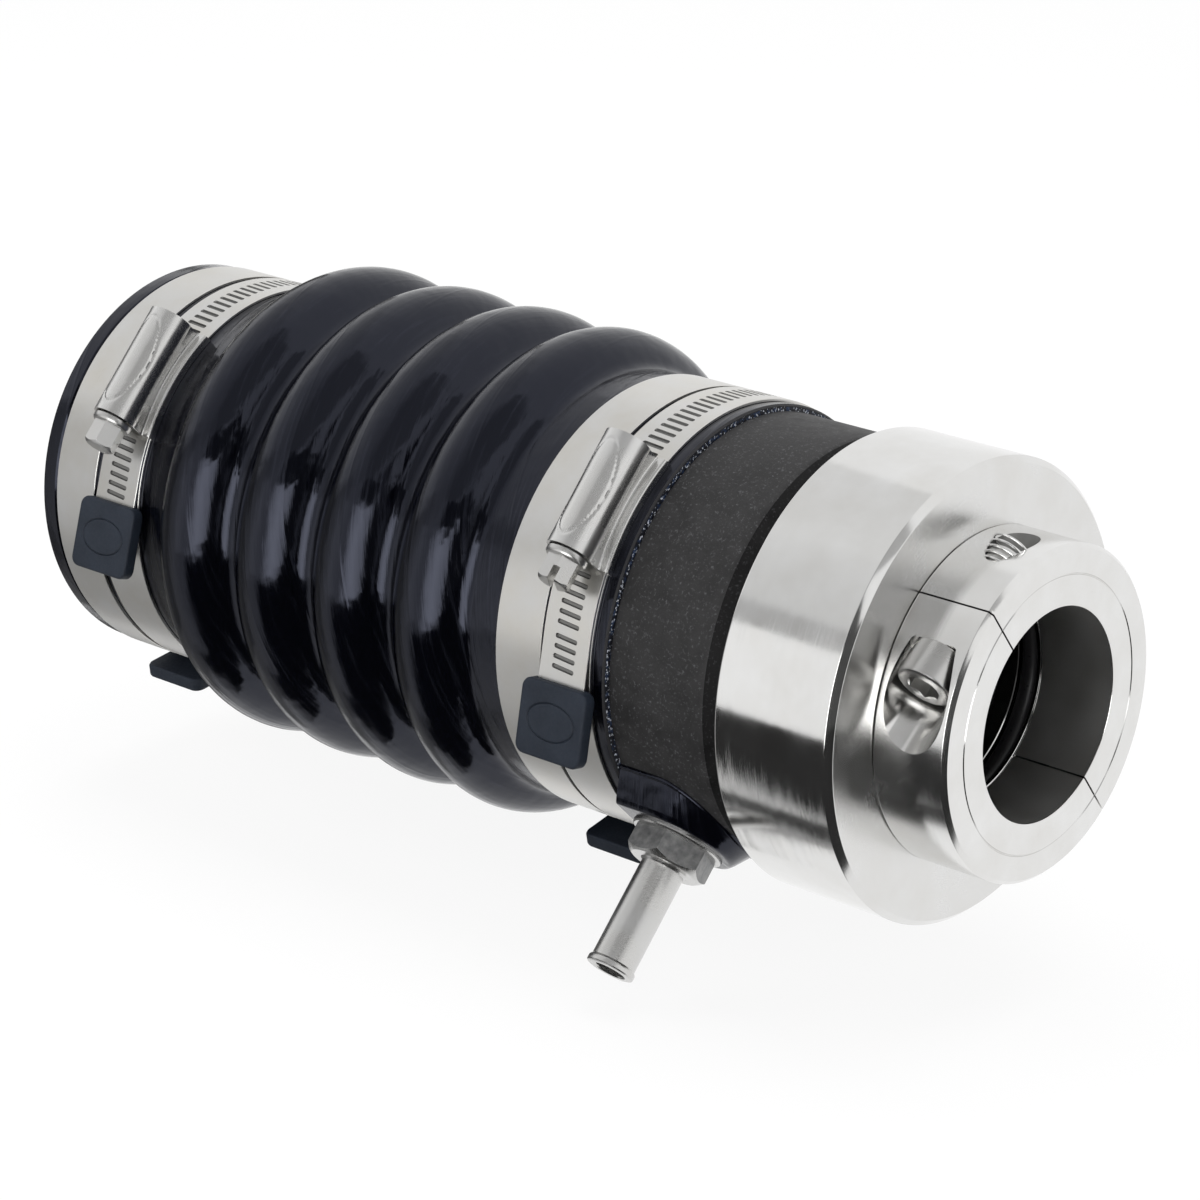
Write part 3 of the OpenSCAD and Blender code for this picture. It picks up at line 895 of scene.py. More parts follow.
@dataclass
class Finishes:
    """Every material of the seal, built once."""

    silicone: bpy.types.Material = field(default_factory=lambda: Silicone("Glossy silicone").build())
    cut_hose: bpy.types.Material = field(default_factory=lambda: CutHose("Cut hose end").build())
    graphite: bpy.types.Material = field(default_factory=lambda: Graphite("Machined graphite").build())
    # The nose's graphite is darkened to paint the shade and dark reflection beside the rotor, and it shines
    # less.
    nose: bpy.types.Material = field(default_factory=lambda: Graphite("Lapped graphite", tone=0.4).build())
    rotor: bpy.types.Material = field(default_factory=lambda: Steel(
        "Turned rotor steel", tone=0.69, roughness=0.05, spread=0.06, grain=0.05, ripple=0.05).build())
    rotor_face: bpy.types.Material = field(default_factory=lambda: Steel(
        "Faced rotor steel", tone=0.70, roughness=0.18, spread=0.08, stretch=0.75, grain=0.03).build())
    collar: bpy.types.Material = field(default_factory=lambda: Steel(
        "Turned collar steel", tone=0.72, roughness=0.09, spread=0.07, grain=0.06).build())
    bore: bpy.types.Material = field(default_factory=lambda: Steel(
        "Bored steel", tone=0.5, roughness=0.4, spread=0.1, line_depth=0.03).build())
    fitting: bpy.types.Material = field(default_factory=lambda: Steel(
        "Turned fitting steel", tone=0.58, roughness=0.2, spread=0.1, stretch=0.3).build())
    fastener: bpy.types.Material = field(default_factory=lambda: Steel(
        "Plain screw steel", tone=0.55, roughness=0.22, spread=0.1, stretch=0.0).build())
    cast: bpy.types.Material = field(default_factory=lambda: Steel(
        "Blank hexagon steel", tone=0.17, warmth=-0.004, roughness=0.36, spread=0.2, line_depth=0.09,
        turned=False, stretch=0.0, cloud=600.0, contrast=0.26).build())
    # Dark steel for the slots' floors and walls and for the tapped holes: painted shade in the recesses.
    groove: bpy.types.Material = field(default_factory=lambda: Steel(
        "Pressed groove steel", tone=0.20, warmth=0.006, roughness=0.4, spread=0.1, stretch=0.0).build())
    band: bpy.types.Material = field(default_factory=lambda: Steel(
        "Rolled band steel", tone=0.63, warmth=0.03, roughness=0.26, spread=0.08, turned=False,
        line_pitch=0.3, stretch=0.4).build())
    housing: bpy.types.Material = field(default_factory=lambda: Steel(
        "Pressed housing steel", tone=0.64, roughness=0.17, spread=0.12, line_depth=0.004, turned=False,
        stretch=0.0).build())
    cap: bpy.types.Material = field(default_factory=lambda: MouldedRubber("Tail cap rubber").build())
    seal: bpy.types.Material = field(default_factory=lambda: MouldedRubber(
        "Seal ring rubber", (0.008, 0.008, 0.009), 0.34, 900.0, 0.02).build())


def join(name: str, parts: Sequence[bpy.types.Object]) -> bpy.types.Object:
    """Joins solids into one piece without melting them together.

    Args:
        name: Name of the piece.
        parts: The solids, which are used up.

    Returns:
        The new object.
    """
    bm = bmesh.new()
    for part in parts:
        bm.from_mesh(part.data)
        bpy.data.objects.remove(part)
    return add_object(name, mesh_from(bm, name, merge=1e-8))


def paint(piece: bpy.types.Object, *materials: bpy.types.Material) -> None:
    """Gives a piece its materials in place of any that it has. Every face starts with the first.

    Args:
        piece: The piece.
        *materials: The materials in the order of their numbers.
    """
    piece.data.materials.clear()
    for material in materials:
        piece.data.materials.append(material)


def dress(
    piece: bpy.types.Object, material: bpy.types.Material, body: str, node: str | None = None
) -> bpy.types.Object:
    """Gives a finished piece its material and its body, and hides the CAD node that it stands for.

    Args:
        piece: The piece.
        material: Its material.
        body: The body that it moves with.
        node: The CAD node that it replaces, if any.

    Returns:
        The same object.
    """
    if not piece.data.materials:
        piece.data.materials.append(material)
    elif piece.data.materials[0] is None:
        piece.data.materials[0] = material
    if node:
        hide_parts(node)
    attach(piece, body)
    log.info("%s: %d faces, rides on %s", piece.name, len(piece.data.polygons), body)
    return piece


# Bellows


@dataclass
class Bellows:
    """The ribbed silicone hose."""

    finishes: Finishes
    start: float = -245.0
    humps_start: float = -205.1
    humps_end: float = -112.3
    end: float = -76.0
    hump_count: int = 4
    hump_pitch: float = 23.2
    hump_radius: float = 53.6
    hump_height: float = 7.0
    hump_round: float = 9.5
    wall: float = 4.9
    cuff_in: float = 44.4
    cuff_out: float = 46.7
    tube: float = 38.1
    sleeve: float = 40.05
    taper: float = 6.0
    rim_in_edge: float = 4.2
    rim_out_edge: float = 2.4
    swell_in: float = 0.4
    swell_out: float = 0.2
    steps: int = 168

    def hump(self, inset: float) -> list[Point]:
        """Lists one hump's section, from the bottom of a hollow to the next.

        Args:
            inset: Depth below the outer skin in millimetres.

        Returns:
            Points of [distance along X, radius].
        """
        slope = 2 * math.degrees(math.atan(2 * self.hump_height / self.hump_pitch))
        hollow = self.hump_pitch / 2 / math.sin(math.radians(slope)) - self.hump_round
        floor = self.hump_radius - self.hump_height
        first = (self.humps_start, floor + hollow)
        crest = (self.humps_start + self.hump_pitch / 2, self.hump_radius - self.hump_round)
        last = self.humps_start + self.hump_pitch
        up = arc(first, -(hollow + inset), 0, -slope, 5)
        over = arc(crest, self.hump_round - inset, -slope, slope, 16)
        down = [(first[0] + last - x, r) for x, r in reversed(up)]
        return up + over[1:-1] + down

    def build(self) -> list[bpy.types.Object]:
        """Makes the hose.

        Returns:
            The one finished piece.
        """
        black = self.finishes.silicone
        name = "bellows_hose"
        bm = bmesh.new()
        for inset in (0.0, self.wall):
            unit = lathe("hump", self.hump(inset), self.steps, closed=False)
            repeat_along(unit, self.hump_count, (self.hump_pitch, 0.0, 0.0), black)
            bm.from_mesh(unit.data)
            bpy.data.objects.remove(unit)
        hollow = self.hump_radius - self.hump_height
        rim_in = self.cuff_in + self.swell_in
        rim_out = self.cuff_out + self.swell_out
        in_edge, out_edge = self.start + self.rim_in_edge, self.end - self.rim_out_edge
        near = [
            (self.humps_start, hollow - self.wall), (self.humps_start - self.taper, self.tube),
            (self.start + 0.5, self.tube), (self.start, self.tube + 0.5), (self.start, rim_in - 0.7),
            (self.start + 0.2, rim_in - 0.25), (self.start + 0.7, rim_in), (in_edge - 0.2, rim_in),
            (in_edge + 0.2, self.cuff_in), (self.humps_start - self.taper - 2, self.cuff_in),
            (self.humps_start - self.taper, self.cuff_in + 0.15),
            (self.humps_start - self.taper * 0.45, hollow - 0.9), (self.humps_start, hollow),
        ]
        far = [
            (self.humps_end, hollow), (self.humps_end + 1, self.cuff_out), (out_edge - 0.2, self.cuff_out),
            (out_edge + 0.3, rim_out), (self.end - 0.4, rim_out), (self.end, rim_out - 0.4),
            (self.end, self.sleeve + 0.3), (self.end - 0.3, self.sleeve), (self.humps_end + 1, self.sleeve),
            (self.humps_end, hollow - self.wall),
        ]
        for outline in (near, far):
            cuff = lathe("cuff", outline, self.steps, closed=False)
            bm.from_mesh(cuff.data)
            bpy.data.objects.remove(cuff)
        piece = add_object(name, mesh_from(bm, name, merge=4e-6))
        paint(piece, black, self.finishes.cut_hose)
        for face in piece.data.polygons:
            at_end = abs(face.center.x - self.end * MM) < 0.6 * MM
            face.material_index = 1 if at_end else 0
        shade(piece, 40)
        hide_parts("bellows")
        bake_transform(piece)
        log.info("%s: %d faces, bends between the two ends", name, len(piece.data.polygons))
        return [piece]


# Hose clamps


@dataclass(frozen=True)
class Stretch:
    """A length of flat band between two places along it, plain or with slots pressed into it."""

    start: float
    end: float
    slots: int = 0


@dataclass
class WormClamp:
    """One worm-drive hose clamp, drawn with its housing on top and its head towards negative Y."""

    finishes: Finishes
    letter: str
    along: float
    seat: float
    side: Side
    head: HeadShape
    body: str
    tail_turn: float
    tail_run: float
    width: float = 12.2
    thick: float = 0.7
    edge: float = 0.12
    layer_gap: float = 0.05
    housing_length: float = 26.4
    housing_width: float = 13.6
    barrel: float = 5.0
    barrel_tuck: float = 25.0
    shell: float = 0.6
    worm: float = 3.8
    flange: float = 4.5
    flange_thick: float = 1.7
    hex_across: float = 6.5
    hex_height: float = 5.4
    hex_turn: float = 5.0
    driver_width: float = 1.5
    driver_depth: float = 3.0
    slot_pitch: float = 2.1
    slot_length: float = 5.8
    slot_width: float = 1.0
    slot_lean: float = 5.0
    slot_depth: float = 0.38
    slot_slope: float = 0.2
    slot_margin: float = 1.5
    slot_count: int = 36
    cap_length: float = 16.0
    cap_width: float = 17.2
    cap_thick: float = 3.2
    cap_round: float = 2.1
    cap_sink: float = 0.5
    cap_end_wall: float = 2.0
    oval: Point = (6.2, 3.9)
    line_depth: float = 0.28
    oval_depth: float = 0.22
    ridge_size: float = 0.45
    housing_steps: int = 96
    barrel_steps: int = 60

    @property
    def axis_height(self) -> float:
        """Height of the worm's axis over the shaft's."""
        return self.seat + 2 * self.thick + 0.2 + self.worm

    @property
    def place(self) -> Matrix:
        """Where the clamp goes, from the place where it is drawn."""
        flip = Matrix.Rotation(0.0 if self.side is Side.FRONT else math.pi, 4, "Z")
        return roll_matrix(self.side.value, self.along) @ flip

    @property
    def cap_gap(self) -> float:
        """How far beyond the tail's parting point the cap starts."""
        outer = self.seat + self.thick
        return max(self.tail_run, math.sqrt(outer**2 - (outer - self.cap_sink - 0.05) ** 2) + 0.3)

    def section(self) -> list[Point]:
        """Lists the band's section as [x, height], with its edges broken and its outside at height 0."""
        half, e, low = self.width / 2, self.edge, -self.thick
        return [
            (-half + e, 0.0), (half - e, 0.0), (half, -e), (half, low + e),
            (half - e, low), (-half + e, low), (-half, low + e), (-half, -e),
        ]

    def slot_cell(self, pitch: float) -> bpy.types.Object:
        """Makes one pitch of flat band with a slot pressed into its outside, open where it meets the next.

        Args:
            pitch: Length of the cell.

        Returns:
            The cell, from y = 0 to y = pitch.
        """
        bm = bmesh.new()
        cos, sin = math.cos(math.radians(self.slot_lean)), math.sin(math.radians(self.slot_lean))

        def ring(inset: float, height: float) -> list[bmesh.types.BMVert]:
            """Draws the slot's outline at one height."""
            outline = round_corners(self.slot_length - 2 * inset, self.slot_width - 2 * inset,
                                    0.42 * self.slot_width - inset * 0.8, 3)
            return [bm.verts.new(Vector((x * cos - y * sin, pitch / 2 + x * sin + y * cos, height)) * MM)
                    for x, y in outline]

        near, far = ([bm.verts.new(Vector((x, y, h)) * MM) for x, h in self.section()] for y in (0.0, pitch))
        for k in range(1, len(near)):
            n = (k + 1) % len(near)
            bm.faces.new([near[k], far[k], far[n], near[n]])
        rim, floor = ring(0.0, 0.0), ring(self.slot_slope, -self.slot_depth)
        frame = [near[0], near[1], far[1], far[0]]
        pairs = [(loop[k], loop[(k + 1) % len(loop)]) for loop in (frame, rim) for k in range(len(loop))]
        edges = [bm.edges.get(pair) or bm.edges.new(pair) for pair in pairs]
        bmesh.ops.triangle_fill(bm, edges=edges, use_beauty=True)
        for k in range(len(rim)):
            n = (k + 1) % len(rim)
            bm.faces.new([rim[k], rim[n], floor[n], floor[k]])
        bm.faces.new(floor)
        return add_object("slot_cell", mesh_from(bm, "slot_cell"))

    def layer(
        self, stretches: Sequence[Stretch], radius: float, turn: float, capped: bool
    ) -> bmesh.types.BMesh:
        """Makes one layer of band flat, and bends it round the hose.

        Args:
            stretches: Its lengths in order, measured along its outside from the housing's middle.
            radius: Radius of its outside.
            turn: Roll angle in degrees from which it runs on straight.
            capped: True if both ends are closed.

        Returns:
            The layer's mesh.
        """
        bm = bmesh.new()
        ends: list[list[bmesh.types.BMVert]] = []
        for stretch in stretches:
            length = stretch.end - stretch.start
            if stretch.slots:
                pitch = length / stretch.slots
                cell = self.slot_cell(pitch)
                row = repeat_along(cell, stretch.slots, (0.0, pitch, 0.0), self.finishes.band)
                row.data.transform(Matrix.Translation((0.0, stretch.start * MM, 0.0)))
                bm.from_mesh(row.data)
                bpy.data.objects.remove(row)
                continue
            spans = max(1, round(length / 2.0))
            rings = [[bm.verts.new(Vector((x, stretch.start + length * k / spans, h)) * MM)
                      for x, h in self.section()] for k in range(spans + 1)]
            for low, high in zip(rings, rings[1:]):
                for k in range(len(low)):
                    n = (k + 1) % len(low)
                    bm.faces.new([low[k], high[k], high[n], low[n]])
            ends += [rings[0], rings[-1]]
        if capped:
            bm.faces.new(ends[0])
            bm.faces.new(ends[-1])
        bmesh.ops.remove_doubles(bm, verts=bm.verts, dist=2e-6)
        # Faces sunk into a slot take the dark groove steel: painted shade.
        for face in bm.faces:
            across, _, height = face.calc_center_median() / MM
            sunk = -self.thick < height - 0.01 < -0.03
            face.material_index = int(abs(across) < self.slot_length / 2 + 0.2 and sunk)
        bend = math.radians(turn)
        for vertex in bm.verts:
            x, place, height = vertex.co / MM
            angle = min(place / radius, bend)
            straight = max(0.0, place - bend * radius)
            out = radius + height
            vertex.co = Vector((x, -out * math.sin(angle) - straight * math.cos(angle),
                                out * math.cos(angle) - straight * math.sin(angle))) * MM
        return bm

    def band(self) -> bpy.types.Object:
        """Makes the band: once round, then a second layer that runs off straight into the cap."""
        outer = self.seat + self.thick
        step = self.slot_pitch / outer
        first = math.asin(self.housing_length / 2 / outer) + math.radians(self.slot_margin)
        slots_from = -(first + (self.slot_count - 0.5) * step) * outer
        slots_to = -(first - step / 2) * outer
        around = self.layer([Stretch(slots_from, slots_to, self.slot_count),
                             Stretch(slots_to, slots_from + math.tau * outer)], outer, 360, False)
        bend = math.radians(self.tail_turn)
        top = outer + self.layer_gap + self.thick
        count = 1 + math.floor((bend - first - step / 4) / step)
        last = first + (count - 1) * step
        curved_from, curved_to = (first - step / 2) * top, (last + step / 2) * top
        run_first = max(0.8 * self.slot_width, self.slot_pitch - (bend - last) * outer)
        run_slots = 1 + math.floor((self.cap_gap - run_first - self.slot_width) / self.slot_pitch)
        run_from = bend * top + run_first - self.slot_pitch / 2
        stretches = [Stretch(0.3, curved_from), Stretch(curved_from, curved_to, count)]
        if run_from - curved_to > 0.1:
            stretches.append(Stretch(curved_to, run_from))
        else:
            run_from = curved_to
        run_to = run_from + run_slots * self.slot_pitch
        tail_end = bend * top + self.cap_gap + self.cap_length - self.cap_end_wall - 0.1
        stretches += [Stretch(run_from, run_to, run_slots), Stretch(run_to, tail_end)]
        tail = self.layer(stretches, top, self.tail_turn, True)
        loose = bpy.data.meshes.new("tail")
        tail.to_mesh(loose)
        tail.free()
        around.from_mesh(loose)
        bpy.data.meshes.remove(loose)
        name = f"clamp_{self.letter}_slotted_band"
        piece = add_object(name, mesh_from(around, name, merge=2e-6))
        piece.data.materials.append(self.finishes.band)
        piece.data.materials.append(self.finishes.groove)
        piece.data.transform(self.place)
        return shade(piece, 40)

    def housing_section(self, y: float, inset: float) -> list[Point3]:
        """Lists half of the housing's shell at one place along the worm.

        Args:
            y: Place along the worm.
            inset: Depth below the outer skin.

        Returns:
            Points from one skirt's edge over the barrel to the other's.
        """
        channel = self.seat + 2 * self.thick + 0.12
        plate = math.sqrt((channel + self.shell) ** 2 - y * y) - inset
        skirt = math.sqrt((self.seat + 0.1) ** 2 - y * y)
        half = self.housing_width / 2 - inset
        side = self.barrel - inset
        corner = 0.7 - inset * 0.6
        fillet = 0.5 + inset * 0.6
        right: list[Point] = [(half, skirt)]
        right += [(half - corner + corner * math.cos(a), plate - corner + corner * math.sin(a))
                  for a in (math.radians(18 * k) for k in range(6))]
        tuck = math.radians(self.barrel_tuck)
        neck = side * math.cos(tuck)
        right += [(neck + fillet - fillet * math.sin(a), plate + fillet - fillet * math.cos(a))
                  for a in (math.radians(22.5 * k) for k in range(5))]
        top: list[Point] = []
        for k in range(self.barrel_steps + 1):
            a = -tuck + (math.pi + 2 * tuck) * k / self.barrel_steps
            bulge = 0.0
            if not inset:
                across, length = math.cos(a) * self.barrel / 4.2, y / (self.housing_length * 0.44)
                oval = across * across + length * length if math.sin(a) > 0 else 9.0
                bulge = -self.oval_depth * math.exp(-((oval - 0.9) / 0.055) ** 2)
            top.append(((side + bulge) * math.cos(a), self.axis_height + (side + bulge) * math.sin(a)))
        left = [(-x, z) for x, z in reversed(right)]
        return [(x, y, z) for x, z in right + top + left]

    def housing(self) -> bpy.types.Object:
        """Makes the pressed housing round the worm, open at both ends."""
        reach = self.housing_length / 2
        sections = []
        for k in range(self.housing_steps + 1):
            y = -reach + self.housing_length * k / self.housing_steps
            outer = self.housing_section(y, 0.0)
            inner = self.housing_section(y, self.shell)
            sections.append(outer + list(reversed(inner)))
        name = f"clamp_{self.letter}_pressed_housing"
        piece = sweep(name, sections)
        piece.data.transform(self.place)
        return shade(piece, 38)

    def screw(self) -> bpy.types.Object:
        """Makes the worm screw with its thread, its collar and its hexagonal head."""
        reach = self.housing_length / 2
        name = f"clamp_{self.letter}_worm_screw"
        core = self.worm - 0.55
        collar_from = reach + 0.2
        collar_to = collar_from + self.flange_thick
        piece = stand([
            (-reach + 0.5, 0.0), (-reach + 0.5, core - 1.0), (-reach + 1.2, core), (collar_from, core),
            (collar_from, self.flange - 0.25), (collar_from + 0.25, self.flange),
            (collar_to - 0.6, self.flange), (collar_to - 0.2, self.flange - 0.25),
            (collar_to, self.flange - 0.8), (collar_to, 0.0),
        ], name, 56)
        corner, top = self.hex_across / math.sqrt(3), collar_to + self.hex_height
        head = prism("head", regular(6, corner, self.hex_turn), collar_to - 0.6, top)
        cone = stand([
            (collar_to - 1.0, 0.0), (collar_to - 1.0, corner + 0.4), (top - 1.0, corner + 0.35),
            (top - 0.25, corner - 0.45), (top, corner - 0.85), (top, 0.0),
        ], "cone", 56)
        combine(head, cone, Boolean.KEEP_COMMON)
        if self.head is HeadShape.SLOTTED_HEX:
            far, half = 9.0, self.driver_width / 2
            outline = [(-far, -half), (far, -half), (far, half), (-far, half)]
            slot = prism("slot", outline, top - self.driver_depth, top + 1)
            slot.data.transform(Matrix.Rotation(math.radians(self.hex_turn + 60), 4, "Z"))
            combine(head, slot, Boolean.CUT)
        soften(head, 0.14, 2)
        ridge = thread("ridge", self.worm - 0.5, self.slot_pitch, self.housing_length - 3.0, self.ridge_size,
                       self.finishes.fastener)
        ridge.data.transform(Matrix.Translation((0, 0, (-reach + 1.6) * MM)))
        made = join(name, (piece, head, ridge))
        along_y = Matrix.Rotation(math.radians(90), 4, "X")
        lifted = Matrix.Translation((0, 0, self.axis_height * MM)) @ along_y
        made.data.transform(self.place @ lifted)
        return shade(made, 34)

    def cap_outline(self, inset: float) -> list[Point]:
        """Lists the cap's outline, drawn in by an inset in millimetres."""
        return round_corners(self.cap_width - 2 * inset, self.cap_length - 2 * inset,
                             self.cap_round - inset * 0.6, 6, 14)

    def cap(self) -> bpy.types.Object:
        """Makes the moulded rubber cap on the tail, with a plain oval pressed into it."""
        name = f"clamp_{self.letter}_rubber_cap"
        low = self.seat + self.thick - self.cap_sink
        high = low + self.cap_thick
        middle = -self.cap_gap - self.cap_length / 2
        edge = 0.55
        loops = []
        for z, inset in ((low, edge), (low + 0.15, edge * 0.4), (low + edge, 0.0), (high - edge, 0.0),
                         (high - 0.3 * edge, edge * 0.3), (high, edge)):
            loops.append([(x, y + middle, z) for x, y in self.cap_outline(inset)])
        rim = self.cap_outline(edge)
        a, b = self.oval
        ovals = [(x / math.hypot(x / a, y / b), y / math.hypot(x / a, y / b)) for x, y in rim]
        for share in (0.3, 0.65):
            loops.append([(x + (1.12 * u - x) * share, y + (1.12 * v - y) * share + middle, high)
                          for (x, y), (u, v) in zip(rim, ovals)])
        for grow in (1.12, 1.06, 1.03, 1.0, 0.97, 0.94, 0.88, 0.6, 0.3, 0.05):
            dip = self.line_depth * math.exp(-((grow - 1.0) / 0.035) ** 2)
            loops.append([(grow * u, grow * v + middle, high - dip) for u, v in ovals])
        piece = sweep(name, loops)
        half = self.width / 2 + 0.05
        start, end = middle - self.cap_length / 2 + self.cap_end_wall, middle + self.cap_length
        pocket = prism("pocket", [(-half, start), (half, start), (half, end), (-half, end)],
                       self.seat + self.thick, self.seat + 2 * self.thick + 0.12)
        combine(piece, pocket, Boolean.CUT)
        piece.data.transform(self.place @ roll_matrix(self.tail_turn))
        return shade(piece, 50)

    def build(self) -> list[bpy.types.Object]:
        """Makes the whole clamp.

        Returns:
            Its band, housing, screw and cap.
        """
        clamp = f"clamp_{self.letter}"
        f = self.finishes
        return [
            dress(self.band(), f.band, self.body, f"{clamp}_band"),
            dress(self.housing(), f.housing, self.body, f"{clamp}_housing"),
            dress(self.screw(), f.fastener, f"worm_{self.letter}", f"{clamp}_screw"),
            dress(self.cap(), f.cap, self.body, f"{clamp}_tail_cap"),
        ]


# Carbon ring


@dataclass
class CarbonRing:
    """The carbon ring with its running nose, its sleeve in the hose and the pad for the water fitting."""

    finishes: Finishes
    hose_end: float = -75.95
    nose: float = -46.0
    radius: float = 45.5
    nose_radius: float = 42.0
    nose_slope: float = 6.0
    bore: float = 24.2
    face_bore: float = 32.0
    recess: float = 2.0
    sleeve: float = 40.0
    sleeve_end: float = -111.0
    pad_turn: float = 135.0
    pad_height: float = 48.8
    pad_depth: float = 7.7
    pad_top: float = 11.8
    pad_foot: float = 16.8
    pad_run: float = 9.45
    fitting_along: float = -66.3
    port: float = 3.25
    tapped: float = 6.05
    tapped_depth: float = 12.8

    @property
    def pad_place(self) -> Matrix:
        """Where the pad goes, from the place where it is drawn upright."""
        return roll_matrix(self.pad_turn, self.fitting_along)

    def build(self) -> list[bpy.types.Object]:
        """Makes the ring.

        Returns:
            The one finished piece.
        """
        name = "carbon_ring"
        slope_start = self.nose - self.nose_slope
        piece = lathe(name, [
            (self.sleeve_end, self.sleeve - 1), (self.sleeve_end + 1, self.sleeve),
            (self.hose_end, self.sleeve), (self.hose_end, self.radius - 0.4),
            (self.hose_end + 0.4, self.radius),
            (slope_start - 0.5, self.radius), (slope_start + 0.4, self.radius - 0.25),
            (self.nose - 0.35, self.nose_radius + 0.15), (self.nose, self.nose_radius - 0.2),
            (self.nose, self.face_bore + 0.2), (self.nose - 0.2, self.face_bore),
            (self.nose - self.recess, self.face_bore), (self.nose - self.recess, self.bore + 0.5),
            (self.nose - self.recess - 0.5, self.bore), (self.sleeve_end + 0.5, self.bore),
            (self.sleeve_end, self.bore + 0.5),
        ], 256)
        top = self.pad_height
        loops = []
        for z, radius in ((top - self.pad_depth, self.pad_foot), (top - 0.9, self.pad_top + 0.58),
                          (top - 0.45, self.pad_top + 0.2), (top - 0.12, self.pad_top - 0.15),
                          (top, self.pad_top - 0.6)):
            loops.append([(x, y, z) for x, y in tongue(radius, self.pad_run)])
        pad = sweep("pad", loops)
        pad.data.transform(self.pad_place)
        combine(piece, pad, Boolean.ADD)
        tapped_from = top - self.tapped_depth
        port = stand([
            (self.bore - 2, 0.0), (self.bore - 2, self.port), (tapped_from, self.port),
            (tapped_from, self.tapped), (top + 2, self.tapped), (top + 2, 0.0),
        ], "port", 48)
        port.data.transform(self.pad_place)
        combine(piece, port, Boolean.CUT)
        # The faces that look towards the rotor take the darkened nose graphite: painted shade.
        paint(piece, self.finishes.graphite, self.finishes.nose)
        for face in piece.data.polygons:
            face.material_index = int(face.center.x > slope_start * MM and face.normal.x > 0.2)
        shade(piece, 28)
        return [dress(piece, self.finishes.graphite, "carbon_side", "carbon_stator")]


@dataclass
class HoseTab:
    """The tongue of the hose's end that lies over the pad, round the water fitting."""

    finishes: Finishes
    ring: CarbonRing
    grow: float = 0.35
    hole: float = 10.1
    edge_size: float = 0.65

    def foot(self, turn: float) -> Point:
        """Finds where the tongue's side meets the ring.

        Args:
            turn: Angle about the fitting in degrees, from positive x.

        Returns:
            Its distance from the fitting's axis and its height over the shaft's axis.
        """
        pad = self.ring
        slope = (pad.pad_foot - pad.pad_top) / pad.pad_depth
        height = pad.radius
        for _ in range(12):
            out = pad.pad_top + self.grow + (pad.pad_height - height) * slope
            height = math.sqrt(pad.radius**2 - (out * math.sin(math.radians(turn))) ** 2)
        return out, height

    def build(self) -> list[bpy.types.Object]:
        """Makes the tongue and its rolled edge.

        Returns:
            The two finished pieces.
        """
        pad, grow = self.ring, self.grow
        top = pad.pad_height + grow
        loops = []
        for z, radius in ((top - pad.pad_depth, pad.pad_foot + grow), (top - 1.1, pad.pad_top + grow + 0.7),
                          (top - 0.6, pad.pad_top + grow + 0.3), (top - 0.18, pad.pad_top + grow - 0.1),
                          (top, pad.pad_top + grow - 0.7)):
            loops.append([(x, y, z) for x, y in tongue(radius, pad.pad_run)])
        tab = sweep("hose_tab", loops)
        hole = stand([
            (pad.pad_height, 0.0), (pad.pad_height, self.hole), (top + 1, self.hole), (top + 1, 0.0),
        ], "hole", 64)
        combine(tab, hole, Boolean.CUT)
        tab.data.transform(pad.pad_place)
        for side in (-1, 1):
            out, height = self.foot(90)
            path: list[Point3] = [(-pad.pad_run + 2.0 * k, side * out, height) for k in range(5)]
            for turn in range(90, -1, -5):
                out, height = self.foot(turn)
                angle = math.radians(turn)
                path.append((out * math.cos(angle), side * out * math.sin(angle), height))
            sections = []
            for x, y, z in path:
                sections.append([(x, y + self.edge_size * math.cos(a), z + self.edge_size * math.sin(a))
                                 for a in (math.tau * k / 8 for k in range(8))])
            rope = sweep(f"edge_{side}", sections)
            rope.data.transform(pad.pad_place)
            if side < 0:
                edge = rope
            else:
                combine(edge, rope, Boolean.ADD)
        edge.name = "hose_tab_edge"
        return [
            dress(shade(tab, 50), self.finishes.silicone, "carbon_side"),
            dress(shade(edge, 60), self.finishes.silicone, "carbon_side"),
        ]


